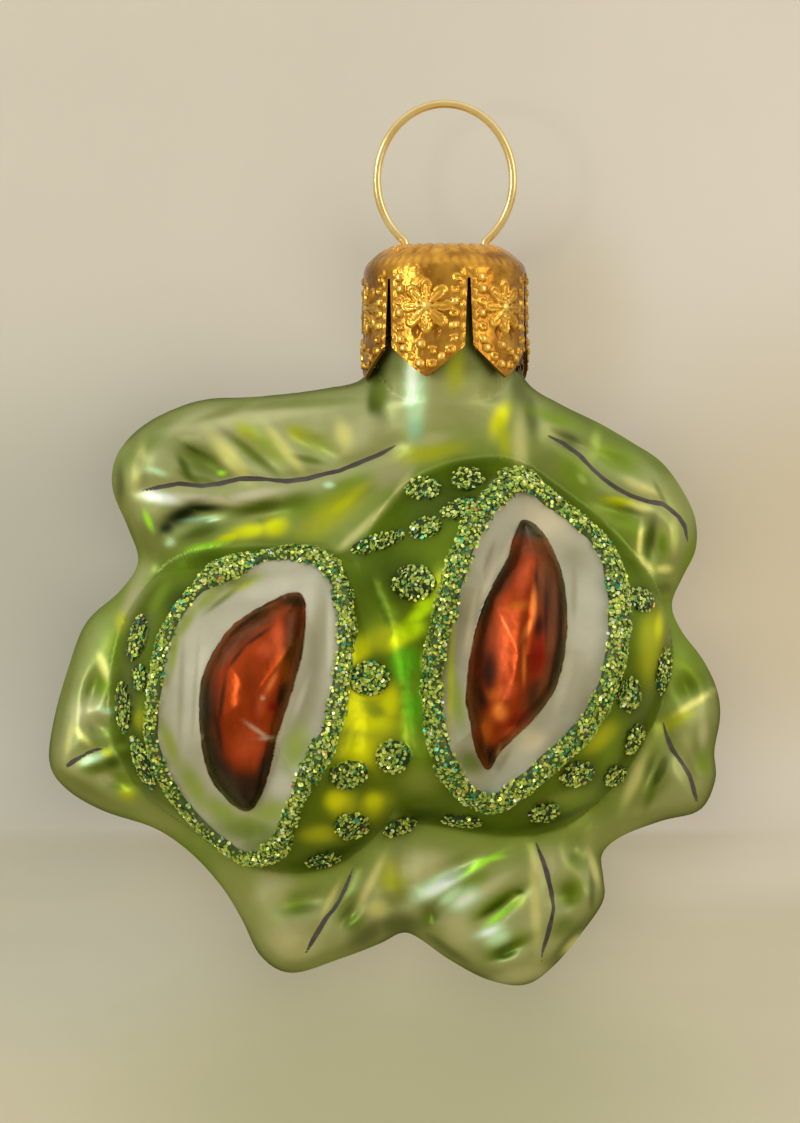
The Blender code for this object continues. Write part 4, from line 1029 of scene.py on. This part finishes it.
def stamped(s, z):
    """Height of the stamping at a place on a lobe: s is millimetres sideways from the lobe's middle."""
    height = np.zeros_like(s)
    studs = [(side * 2.38, z_stud) for side in (-1, 1) for z_stud in np.arange(-15.75, -20.2, -1.04)]
    studs += [(side * 2.55, -14.75) for side in (-1, 1)] + [(-0.45, -20.35), (0.6, -20.9)]
    studs += [(side * (1.95 - 0.72 * k), -20.75 - 0.62 * k) for side in (-1, 1) for k in range(3)]
    for k, (stud_s, stud_z) in enumerate(studs):
        askew = 0.07 * math.sin(5.3 * k)
        square = (np.abs(s - stud_s - askew) ** 4 + np.abs(z - stud_z + askew) ** 4) ** 0.25
        stud = 0.25 * mound(STUD - square, STUD, 0.4)
        if k % 2:
            stud -= 0.3 * np.exp(-((square / 0.15) ** 2))
        height = np.where(square < STUD, np.maximum(height, 0) + stud, height)
    rope = np.clip(1 - np.abs(np.abs(s) - 3.02) / 0.26, 0, 1) * (0.65 + 0.35 * np.cos(2 * math.pi * z / 0.9))
    height = np.maximum(height, 0.16 * rope)
    for turn in np.arange(8) * math.pi / 4:
        along = s * math.sin(turn) + (z - STAR_Z) * math.cos(turn)
        across = s * math.cos(turn) - (z - STAR_Z) * math.sin(turn)
        arm = np.exp(-((across / 0.13) ** 2)) * np.clip((2.1 - along) / 0.6, 0, 1) * (along > 0)
        loop = np.hypot((along - 1.35) / 0.78, across / (0.2 + 0.12 * np.clip(along, 0, 2)))
        petal = np.maximum(0.75 * np.exp(-(((loop - 1) / 0.24) ** 2)), 0.3 * (loop < 1))
        height = np.maximum(height, 0.22 * np.maximum(arm, petal))
    height = np.maximum(height, 0.3 * mound(0.42 - np.hypot(s, z - STAR_Z), 0.42, 0.5))
    for hollow_s, hollow_z, wide, high in HOLLOWS:
        diamond = np.abs(np.abs(s) - hollow_s) / wide + np.abs(z - hollow_z) / high
        height = np.where(height < 0.05, -0.16 * np.clip(2 - 2 * diamond, 0, 1), height)
    return height


rows = []
for i, (radius, z) in enumerate(crown_profile):
    rows.append(("crown", radius, z))
    if i + 1 < len(crown_profile) and i > 1:
        next_radius, next_z = crown_profile[i + 1]
        rows.append(("crown", (radius + next_radius) / 2, (z + next_z) / 2))
rows += [("crown", CAP, z) for z in np.linspace(-14.1, SLIT_TOP, 8)]
rows += [("lobe", CAP, v) for v in np.linspace(0, 1, 78)[1:]]
cap_points = []
cap_heights = []
u = np.linspace(-1, 1, COLUMNS + 1)
for lobe in range(LOBES):
    middle = FIRST_LOBE + lobe * 2 * math.pi / LOBES
    for kind, radius, value in rows:
        if kind == "crown":
            z = np.full_like(u, value)
            slit = np.zeros_like(u)
        else:
            edge_z = LOBE_TIP + (LOBE_SIDE - LOBE_TIP) * np.abs(u) ** 1.15
            z = SLIT_TOP + (edge_z - SLIT_TOP) * value
            slit = 0.13 + 0.24 * np.clip((SLIT_TOP - z) / (SLIT_TOP - LOBE_SIDE), 0, 1)
        angle = middle + u * (math.pi / LOBES - slit / CAP)
        s = u * (math.pi / LOBES * CAP - slit)
        height = stamped(s, z) * (radius >= CAP) if radius > 6.5 else np.zeros_like(u)
        crest = 0.24 * np.abs(np.cos(13 * angle)) ** 0.7 * np.clip(1 - abs(radius - 4.6) / 1.5, 0, 1)
        side_crest = 0.06 * np.abs(np.cos(26 * angle)) * np.clip(1 - abs(z + 13.3) / 0.5, 0, 1) * (radius > 6)
        outwards = radius + height + side_crest
        if kind == "lobe":
            outwards += 0.18 * np.clip((SLIT_TOP - z) / 8.0, 0, 1) ** 2
        cap_points.append(np.stack([outwards * np.cos(angle), outwards * np.sin(angle), z + crest], 1))
        cap_heights.append(height + crest + side_crest)
cap_points = np.concatenate(cap_points)
cap_heights = np.concatenate(cap_heights)
cap_faces = []
width = COLUMNS + 1
for lobe in range(LOBES):
    for row in range(len(rows) - 1):
        first = (lobe * len(rows) + row) * width
        for k in range(COLUMNS):
            cap_faces.append((first + k, first + width + k, first + width + k + 1, first + k + 1))
cap = add_mesh("crown_cap", cap_points, cap_faces)
mark_points(cap.data, "stamping", cap_heights)
close_shell(cap, 2e-5)
thicken = cap.modifiers.new("sheet", "SOLIDIFY")
thicken.thickness = SHEET * MM
thicken.offset = -1.0
apply_modifiers(cap)
for leg_x in (-LEG_X, LEG_X):
    punch = turned("punch", [(0.0, -10.5), (HOLE, -10.5), (HOLE, -13.6), (0.0, -13.6)], 24)
    for vertex in punch.data.vertices:
        vertex.co.x += leg_x * MM
    join_solid(cap, punch, "DIFFERENCE")
cap.data.shade_smooth()
pick(cap)
bpy.ops.object.shade_smooth_by_angle(angle=math.radians(50))

GOLD = (0.75, 0.38, 0.05)
GOLD_PALE = (0.97, 0.66, 0.17)
GOLD_DEEP = (0.3, 0.12, 0.015)
gold_sheet, tree, surface = new_finish("stamped_gold_sheet")
surface["Metallic"].default_value = 1.0
# The sheet's colour follows the stamping: darkest in the pressed hollows, paler on the raised work.
stamping_tone = combine(tree, "ADD", marked(tree, "stamping"), noise(tree, 500.0, 4.0, -0.05, 0.05))
colour = layer(tree, ramp(tree, stamping_tone, -0.06, 0.1), GOLD_DEEP, GOLD)
colour = layer(tree, ramp(tree, stamping_tone, 0.12, 0.28), colour, GOLD_PALE)
# Painted shade: the sheet is coloured lighter in the middle and darker towards the lobes at the sides, which
# turn away from the light.
side_place = tree.nodes.new("ShaderNodeTexCoord")
side_split = tree.nodes.new("ShaderNodeSeparateXYZ")
tree.links.new(side_place.outputs["Object"], side_split.inputs["Vector"])
off_middle = combine(tree, "ABSOLUTE", side_split.outputs["X"], 0.0)
colour = shaded(tree, colour, ramp(tree, off_middle, 0.0042, 0.0066, 1.08, 0.76))
tree.links.new(colour, surface["Base Color"])
tree.links.new(noise(tree, 800.0, 3.0, 0.16, 0.34), surface["Roughness"])
uneven(tree, surface, 0.3, 0.0002, noise(tree, 900.0, 2.0, 0.0, 1.0))
cap.data.materials.clear()
cap.data.materials.append(gold_sheet)
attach(cap, "root")
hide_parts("cap")


# The wire hanger.
# One piece of springy brass wire, bent into a loop whose two legs go down through the cap and spread inside
# the neck, where they hold by their spring.
WIRE = 0.35
LOOP_WIDE = 5.78
LOOP_HIGH = 6.47
LOOP_Z = -6.12
BRASS = (0.78, 0.54, 0.2)
BRASS_PALE = (0.9, 0.7, 0.34)
leg = [
    (LEG_X - 0.05, -11.9), (LEG_X, -12.6), (3.6, -14.5), (3.95, -17.5), (4.15, -20.0), (4.3, -24.0),
    (4.75, -27.0), (5.4, -30.0),
]
loop_path = [
    (LOOP_WIDE * math.cos(angle), LOOP_Z + LOOP_HIGH * math.sin(angle))
    for angle in np.radians(np.linspace(-53.5, 233.5, 97))
]
wire_path = leg[::-1] + loop_path + [(-x, z) for x, z in leg]
wire_curve = bpy.data.curves.new("hanging_wire", "CURVE")
wire_curve.dimensions = "3D"
wire_curve.bevel_depth = WIRE * MM
wire_curve.bevel_resolution = 6
wire_curve.use_fill_caps = True
wire_spline = wire_curve.splines.new("POLY")
wire_spline.points.add(len(wire_path) - 1)
for point, (x, z) in zip(wire_spline.points, wire_path):
    point.co = (x * MM, 0.0, z * MM, 1.0)
wire_guide = bpy.data.objects.new("hanging_wire", wire_curve)
bpy.context.collection.objects.link(wire_guide)
pick(wire_guide)
bpy.ops.object.convert(target="MESH")
wire = bpy.context.object
wire.name = "hanging_wire"
wire.data.shade_smooth()
wire_metal, tree, surface = new_finish("brass_wire")
surface["Metallic"].default_value = 1.0
colour = layer(tree, noise(tree, 350.0, 3.0, 0.0, 1.0), BRASS, BRASS_PALE)
tree.links.new(colour, surface["Base Color"])
tree.links.new(noise(tree, 900.0, 3.0, 0.14, 0.28, (1.0, 1.0, 0.2)), surface["Roughness"])
wire.data.materials.clear()
wire.data.materials.append(wire_metal)
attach(wire, "root")
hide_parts("wire_hanger")


# The glitter rings.
# A bead of clear green glue squeezed round each opening while the glass turns, then dusted with hexagonal
# foil flakes: pale gold-green for the most part, with dark green, teal, yellow and a few that flash white.
RIM = 0.6
GLUE_SHARE = 0.86
GLUE_DARK = (0.03, 0.07, 0.01)
GLUE_PALE = (0.1, 0.16, 0.03)
# Flakes on each square millimetre of a ring and of a dot, and how far they tip.
RING_FLAKES = 23
DOT_FLAKES = 26
TILT = 0.5
SMALL_FLAKE, LARGE_FLAKE = 0.12, 0.19
dice = np.random.default_rng(7)
flake_palette = np.array([
    (0.58, 0.67, 0.13), (0.44, 0.56, 0.09), (0.80, 0.86, 0.27), (0.26, 0.40, 0.06), (0.04, 0.20, 0.06),
    (0.02, 0.30, 0.17), (0.78, 0.78, 0.09), (0.60, 0.26, 0.05), (0.95, 1.0, 0.80), (0.08, 0.46, 0.30),
])
flake_share = np.array([0.27, 0.25, 0.13, 0.13, 0.10, 0.05, 0.03, 0.008, 0.022, 0.01])


def slopes(x, z, reach=0.3):
    """The outward normal of the glass's front."""
    slope_x = (front(x + reach, z) - front(x - reach, z)) / (2 * reach)
    slope_z = (front(x, z + reach) - front(x, z - reach)) / (2 * reach)
    normal = np.stack([-slope_x, -np.ones_like(x), -slope_z], 1)
    return normal / np.linalg.norm(normal, axis=1)[:, None]


def ring_frame(ring):
    """Path, sideways direction and normal of a ring's middle line."""
    x, z = ring[:, 0], ring[:, 1]
    normal = slopes(x, z, 0.6)
    path = np.stack([x, -front(x, z), z], 1)
    run = np.roll(path, -1, 0) - np.roll(path, 1, 0)
    across = np.cross(run, normal)
    across /= np.linalg.norm(across, axis=1)[:, None]
    return path, across, normal


def glue_bead(name, ring, half_width):
    """The glue under the flakes: a low rounded band, its foot a little inside the glass."""
    path, across, normal = ring_frame(ring)
    angles = np.radians(np.linspace(-20, 200, 11))
    points = []
    for centre, side, up, half in zip(path, across, normal, half_width):
        for a in angles:
            points.append(centre + side * GLUE_SHARE * half * math.cos(a) + up * RIM * math.sin(a))
    count, sides = len(path), len(angles)
    faces = [
        (i * sides + k, i * sides + (k + 1) % sides, (i + 1) % count * sides + (k + 1) % sides,
         (i + 1) % count * sides + k)
        for i in range(count) for k in range(sides)
    ]
    bead = add_mesh(name, points, faces)
    close_shell(bead, 0)
    bead.data.shade_smooth()
    return bead


bpy.ops.object.select_all(action="DESELECT")
bpy.ops.mesh.primitive_cylinder_add(vertices=6, radius=1.0, depth=0.4, end_fill_type="TRIFAN")
flake = bpy.context.object
flake_points = read_points(flake.data)
flake_faces = [tuple(face.vertices) for face in flake.data.polygons]
bpy.data.objects.remove(flake)


def scatter(name, centres, normals):
    """Many flakes in one mesh, each turned at random and a little tipped."""
    count = len(centres)
    lean = normals + TILT * dice.normal(size=(count, 3))
    lean /= np.linalg.norm(lean, axis=1)[:, None]
    spin = dice.normal(size=(count, 3))
    first = np.cross(lean, spin)
    first /= np.linalg.norm(first, axis=1)[:, None]
    second = np.cross(lean, first)
    size = dice.uniform(SMALL_FLAKE, LARGE_FLAKE, count)[:, None, None]
    flake_x, flake_y, flake_z = (flake_points[None, :, axis, None] for axis in range(3))
    places = flake_x * first[:, None] + flake_y * second[:, None]
    places = (places + flake_z * lean[:, None] * 0.6) * size + centres[:, None]
    per = len(flake_points)
    faces = [tuple(v + i * per for v in face) for i in range(count) for face in flake_faces]
    chosen = flake_palette[dice.choice(len(flake_palette), count, p=flake_share)]
    chosen = np.clip(chosen * dice.uniform(0.75, 1.25, (count, 1)), 0, 1)
    flakes = add_mesh(name, places.reshape(-1, 3), faces)
    mark_points(flakes.data, "flake_tint", np.repeat(chosen, per, 0))
    flakes.data.materials.append(foil)
    return flakes


foil, tree, surface = new_finish("glitter_foil")
surface["Metallic"].default_value = 0.6
surface["Roughness"].default_value = 0.28
tree.links.new(marked(tree, "flake_tint", "Color"), surface["Base Color"])

glue, tree, surface = new_finish("green_glue")
surface["Roughness"].default_value = 0.35
colour = layer(tree, noise(tree, 1500.0, 2.0, 0.0, 1.0), GLUE_DARK, GLUE_PALE)
tree.links.new(colour, surface["Base Color"])

# Places along each ring where the glue is thinner or swells into a blob: x, z, reach, share of the usual
# width.
RING_SWELLS = [
    (-22.4, -41.8, 1.6, 0.72),
    (-18.4, -39.0, 1.6, 2.3), (-15.2, -38.2, 1.0, 0.75), (-11.3, -38.4, 1.8, 1.6), (-9.0, -43.0, 3.2, 1.3),
    (-9.3, -50.5, 2.6, 1.35), (-10.7, -55.2, 1.9, 1.7), (-14.5, -62.2, 2.0, 1.5), (6.3, -31.9, 1.4, 1.4),
    (10.2, -34.8, 2.0, 0.85), (13.9, -42.0, 3.0, 1.15), (11.0, -52.6, 3.0, 1.1), (-0.6, -49.0, 3.0, 0.95),
]
for side, ring, half, node in (
    ("left", LEFT_RING, 0.66, "glitter_ring_left"), ("right", RIGHT_RING, 1.0, "glitter_ring_right"),
):
    x, z = ring[:, 0], ring[:, 1]
    half_width = np.full(len(ring), half) * (1 + 0.08 * np.sin(np.arange(len(ring)) * 0.9))
    for swell_x, swell_z, reach, share in RING_SWELLS:
        half_width *= 1 + (share - 1) * np.exp(-((x - swell_x) ** 2 + (z - swell_z) ** 2) / reach**2)
    bead = glue_bead("glue_bead_" + side, ring, half_width)
    bead.data.materials.append(glue)
    path, across, normal = ring_frame(ring)
    length = np.linalg.norm(np.roll(path, -1, 0) - path, axis=1)
    area = length * 2 * half_width
    count = int(area.sum() * RING_FLAKES)
    step = dice.choice(len(path), count, p=area / area.sum())
    after = (step + 1) % len(path)
    t = dice.random(count)[:, None]
    s = dice.uniform(-1.08, 1.08, count)[:, None]
    lift = RIM * np.sqrt(np.clip(1 - s**2, 0, 1)) + 0.03 + 0.12 * dice.random((count, 1))
    place = path[step] * (1 - t) + path[after] * t
    sideways = across[step] * (1 - t) + across[after] * t
    up = normal[step] * (1 - t) + normal[after] * t
    width_here = half_width[step][:, None] * (1 - t) + half_width[after][:, None] * t
    centres = place + sideways * s * width_here + up * lift
    lean = up + sideways * s * 0.8
    flakes = scatter("glitter_flakes_" + side, centres, lean / np.linalg.norm(lean, axis=1)[:, None])
    for piece in (bead, flakes):
        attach(piece, "root")
        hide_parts(node)

# The flakes on the glue dots and dashes of the husks.
dot_centres = []
for spot in DOTS:
    middle_x, middle_z, length, width, angle = spot
    count = int(math.pi * length * width * DOT_FLAKES)
    radius = np.sqrt(dice.random(count)) * 1.05
    turn = dice.uniform(0, 2 * math.pi, count)
    along = radius * np.cos(turn) * length
    across = radius * np.sin(turn) * width
    c, s = math.cos(math.radians(angle)), math.sin(math.radians(angle))
    x = middle_x + along * c - across * s
    z = middle_z + along * s + across * c
    y = -front(x, z) - glue_rise(x, z) - 0.04 - 0.08 * dice.random(count)
    dot_centres.append(np.stack([x, y, z], 1))
dot_centres = np.concatenate(dot_centres)
dot_flakes = scatter("glitter_flakes_dots", dot_centres, slopes(dot_centres[:, 0], dot_centres[:, 2]))
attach(dot_flakes, "root")


# The paper behind.
# A sheet of warm cream paper that lies flat below the ornament and curves up into a wall well behind it.
# Its tones are the photograph's: cooler on the left, warmer on the right, darker below, with a soft shade
# round the ornament.
FLOOR_Z = -98.0
WALL_Y = 750.0
BEND = 120.0
# The picture's row where the floor's tone begins, and the camera's height above the paper in millimetres.
FOLD_DOWN = 835
EYE_HEIGHT = 59.45
WALL_TONE = (214, 207, 193)
COOL_SHADE = (177, 175, 158)
WARM_SHADE = (198, 184, 154)
WALL_LIGHT = (221, 213, 202)
FLOOR_TONE = (190, 182, 155)
FLOOR_SHADE = (166, 163, 126)
LEFT_LIGHT = (186, 184, 168)
RIGHT_LIGHT = (209, 199, 182)
PAPER_WORK = [
    (WALL_LIGHT, 0.9, [(760, 150, 260, 260, 0)]),
    (COOL_SHADE, 0.95, [(0, 600, 330, 190, 0)]),
    (WARM_SHADE, 0.9, [(810, 580, 210, 190, 0)]),
    (LEFT_LIGHT, 0.8, [(0, 805, 120, 60, 0)]),
    (RIGHT_LIGHT, 0.9, [(810, 815, 120, 60, 15)]),
    (WARM_SHADE, 0.5, [(570, 330, 60, 90, 0)]),
]
FLOOR_WORK = [
    (COOL_SHADE, 0.75, [(40, 870, 130, 50, 0), (80, 960, 150, 80, 0)]),
    (RIGHT_LIGHT, 0.8, [(800, 850, 120, 40, 10)]),
    (FLOOR_SHADE, 0.95, [(400, 1100, 270, 125, 0)]),
]
# The soft shade round the ornament and the faint one that the loop casts: how dark, and how far in pixels.
HALO = 52.0
HALO_SHADE = 0.24
CAP_MIDDLE = (442, 330)
CAP_HALF = (80, 75)
LOOP_SHADE = 0.035
LOOP_SHADE_AT = (510, 184)
LOOP_SHADE_RADIUS = 76
bend_angles = np.radians(np.linspace(0, 90, 25))
floor_rows = -EYE[1] * (EYE_HEIGHT / PIXEL_MM / np.arange(1400, 262, -9.0) - 1)
paper_profile = [(-1200.0, FLOOR_Z), (-600.0, FLOOR_Z), (-200.0, FLOOR_Z)]
paper_profile += [(y, FLOOR_Z) for y in floor_rows if y < WALL_Y - BEND - 4]
paper_profile += [
    (WALL_Y - BEND + BEND * math.sin(a), FLOOR_Z + BEND - BEND * math.cos(a)) for a in bend_angles
]
paper_profile += [(WALL_Y, z) for z in (*np.arange(25.0, 150.0, 2.5), 200, 400, 800, 1300)]
paper_x = np.concatenate([[-1600, -700, -350, -240], np.arange(-180.0, 176.0, 2.5), [240, 350, 700, 1600]])
profile_y, profile_z = np.array(paper_profile).T
paper_points = np.stack([
    np.tile(paper_x, len(profile_y)), np.repeat(profile_y, len(paper_x)), np.repeat(profile_z, len(paper_x)),
], 1)
wide = len(paper_x)
paper_faces = [
    (r * wide + c, r * wide + c + 1, (r + 1) * wide + c + 1, (r + 1) * wide + c)
    for r in range(len(profile_y) - 1) for c in range(wide - 1)
]
paper = add_mesh("paper_sweep", paper_points, paper_faces)
paper.data.shade_smooth()
# What lies before the camera's plane can't be in the picture, so it takes the tone at the picture's foot.
seen = np.maximum(paper_points[:, 1], -200.0)
paper_across, paper_down = in_picture(paper_points[:, 0], seen, paper_points[:, 2])
paper_across, paper_down = np.clip(paper_across, -200, 1000), np.clip(paper_down, -300, 1400)
wall_colours = painted(WALL_TONE, paper_across, paper_down, PAPER_WORK)
floor_colours = painted(FLOOR_TONE, paper_across, paper_down, FLOOR_WORK)
below = soft_step(paper_down, FOLD_DOWN - 4, FOLD_DOWN + 4)[:, None]
paper_colours = wall_colours + (floor_colours - wall_colours) * below
glass_x, glass_z = (paper_across - LOOP_TOP[0]) * PIXEL_MM, (LOOP_TOP[1] - paper_down) * PIXEL_MM
beside = -depth_inside(glass_x, glass_z, OUTLINE) / PIXEL_MM
cap_across = np.clip(np.abs(paper_across - CAP_MIDDLE[0]) - CAP_HALF[0], 0, None)
cap_down = np.clip(np.abs(paper_down - CAP_MIDDLE[1]) - CAP_HALF[1], 0, None)
beside = np.minimum(np.clip(beside, 0, None), np.hypot(cap_across, cap_down) + 14)
paper_colours *= 1 - HALO_SHADE * np.exp(-((beside / HALO) ** 1.1))[:, None]
from_loop = np.hypot(paper_across - LOOP_SHADE_AT[0], paper_down - LOOP_SHADE_AT[1]) - LOOP_SHADE_RADIUS
paper_colours *= 1 - LOOP_SHADE * np.exp(-((from_loop / 11) ** 2))[:, None]
mark_points(paper.data, "paper_tone", paper_colours)
cream_paper, tree, surface = new_finish("cream_paper")
surface["Roughness"].default_value = 0.9
surface["Specular IOR Level"].default_value = 0.1
paper_light = shaded(tree, marked(tree, "paper_tone", "Color"), noise(tree, 14.0, 5.0, 1.21, 1.25))
tree.links.new(paper_light, surface["Base Color"])
paper.data.materials.append(cream_paper)


# The light.
# A tall narrow window low on the left, a weak warm lamp on the right, and the pale room all round, darker
# behind the camera, which the silvered glass mirrors.
LIGHT_AIM = (-0.004, 0.0, -0.045)
ROOM_FLOOR = (0.58, 0.56, 0.50)
ROOM_CEILING = (0.98, 0.98, 0.97)
ROOM_BEHIND = (0.62, 0.61, 0.57)


def soft_light(name, position, width, height, power, colour):
    """A rectangular light that faces the ornament."""
    data = bpy.data.lights.new(name, "AREA")
    data.shape = "RECTANGLE"
    data.size = width
    data.size_y = height
    data.energy = power
    data.color = colour
    light = bpy.data.objects.new(name, data)
    light.location = position
    gaze = [a - b for a, b in zip(LIGHT_AIM, position)]
    reach = math.hypot(gaze[0], gaze[1])
    light.rotation_euler = (math.atan2(reach, -gaze[2]), 0.0, math.atan2(gaze[1], gaze[0]) - math.pi / 2)
    bpy.context.collection.objects.link(light)


soft_light("window", (-0.68, -0.56, 0.18), 0.16, 0.42, 2.0, (0.9, 0.97, 1.0))
soft_light("room_lamp", (0.9, -0.7, 0.25), 0.6, 0.6, 2.0, (1.0, 0.88, 0.7))
world = bpy.data.worlds.new("room")
bpy.context.scene.world = world
world.use_nodes = True
sky = world.node_tree
background = sky.nodes["Background"]
background.inputs["Strength"].default_value = 1.0
sky_place = sky.nodes.new("ShaderNodeTexCoord")
sky_split = sky.nodes.new("ShaderNodeSeparateXYZ")
sky.links.new(sky_place.outputs["Generated"], sky_split.inputs["Vector"])
rise = ramp(sky, sky_split.outputs["Z"], -0.8, 0.8)
ahead = ramp(sky, sky_split.outputs["Y"], -1.0, -0.35)
room = layer(sky, rise, ROOM_FLOOR, ROOM_CEILING)
room = layer(sky, ahead, ROOM_BEHIND, room)
sky.links.new(room, background.inputs["Color"])
bpy.context.scene.view_settings.view_transform = "Standard"
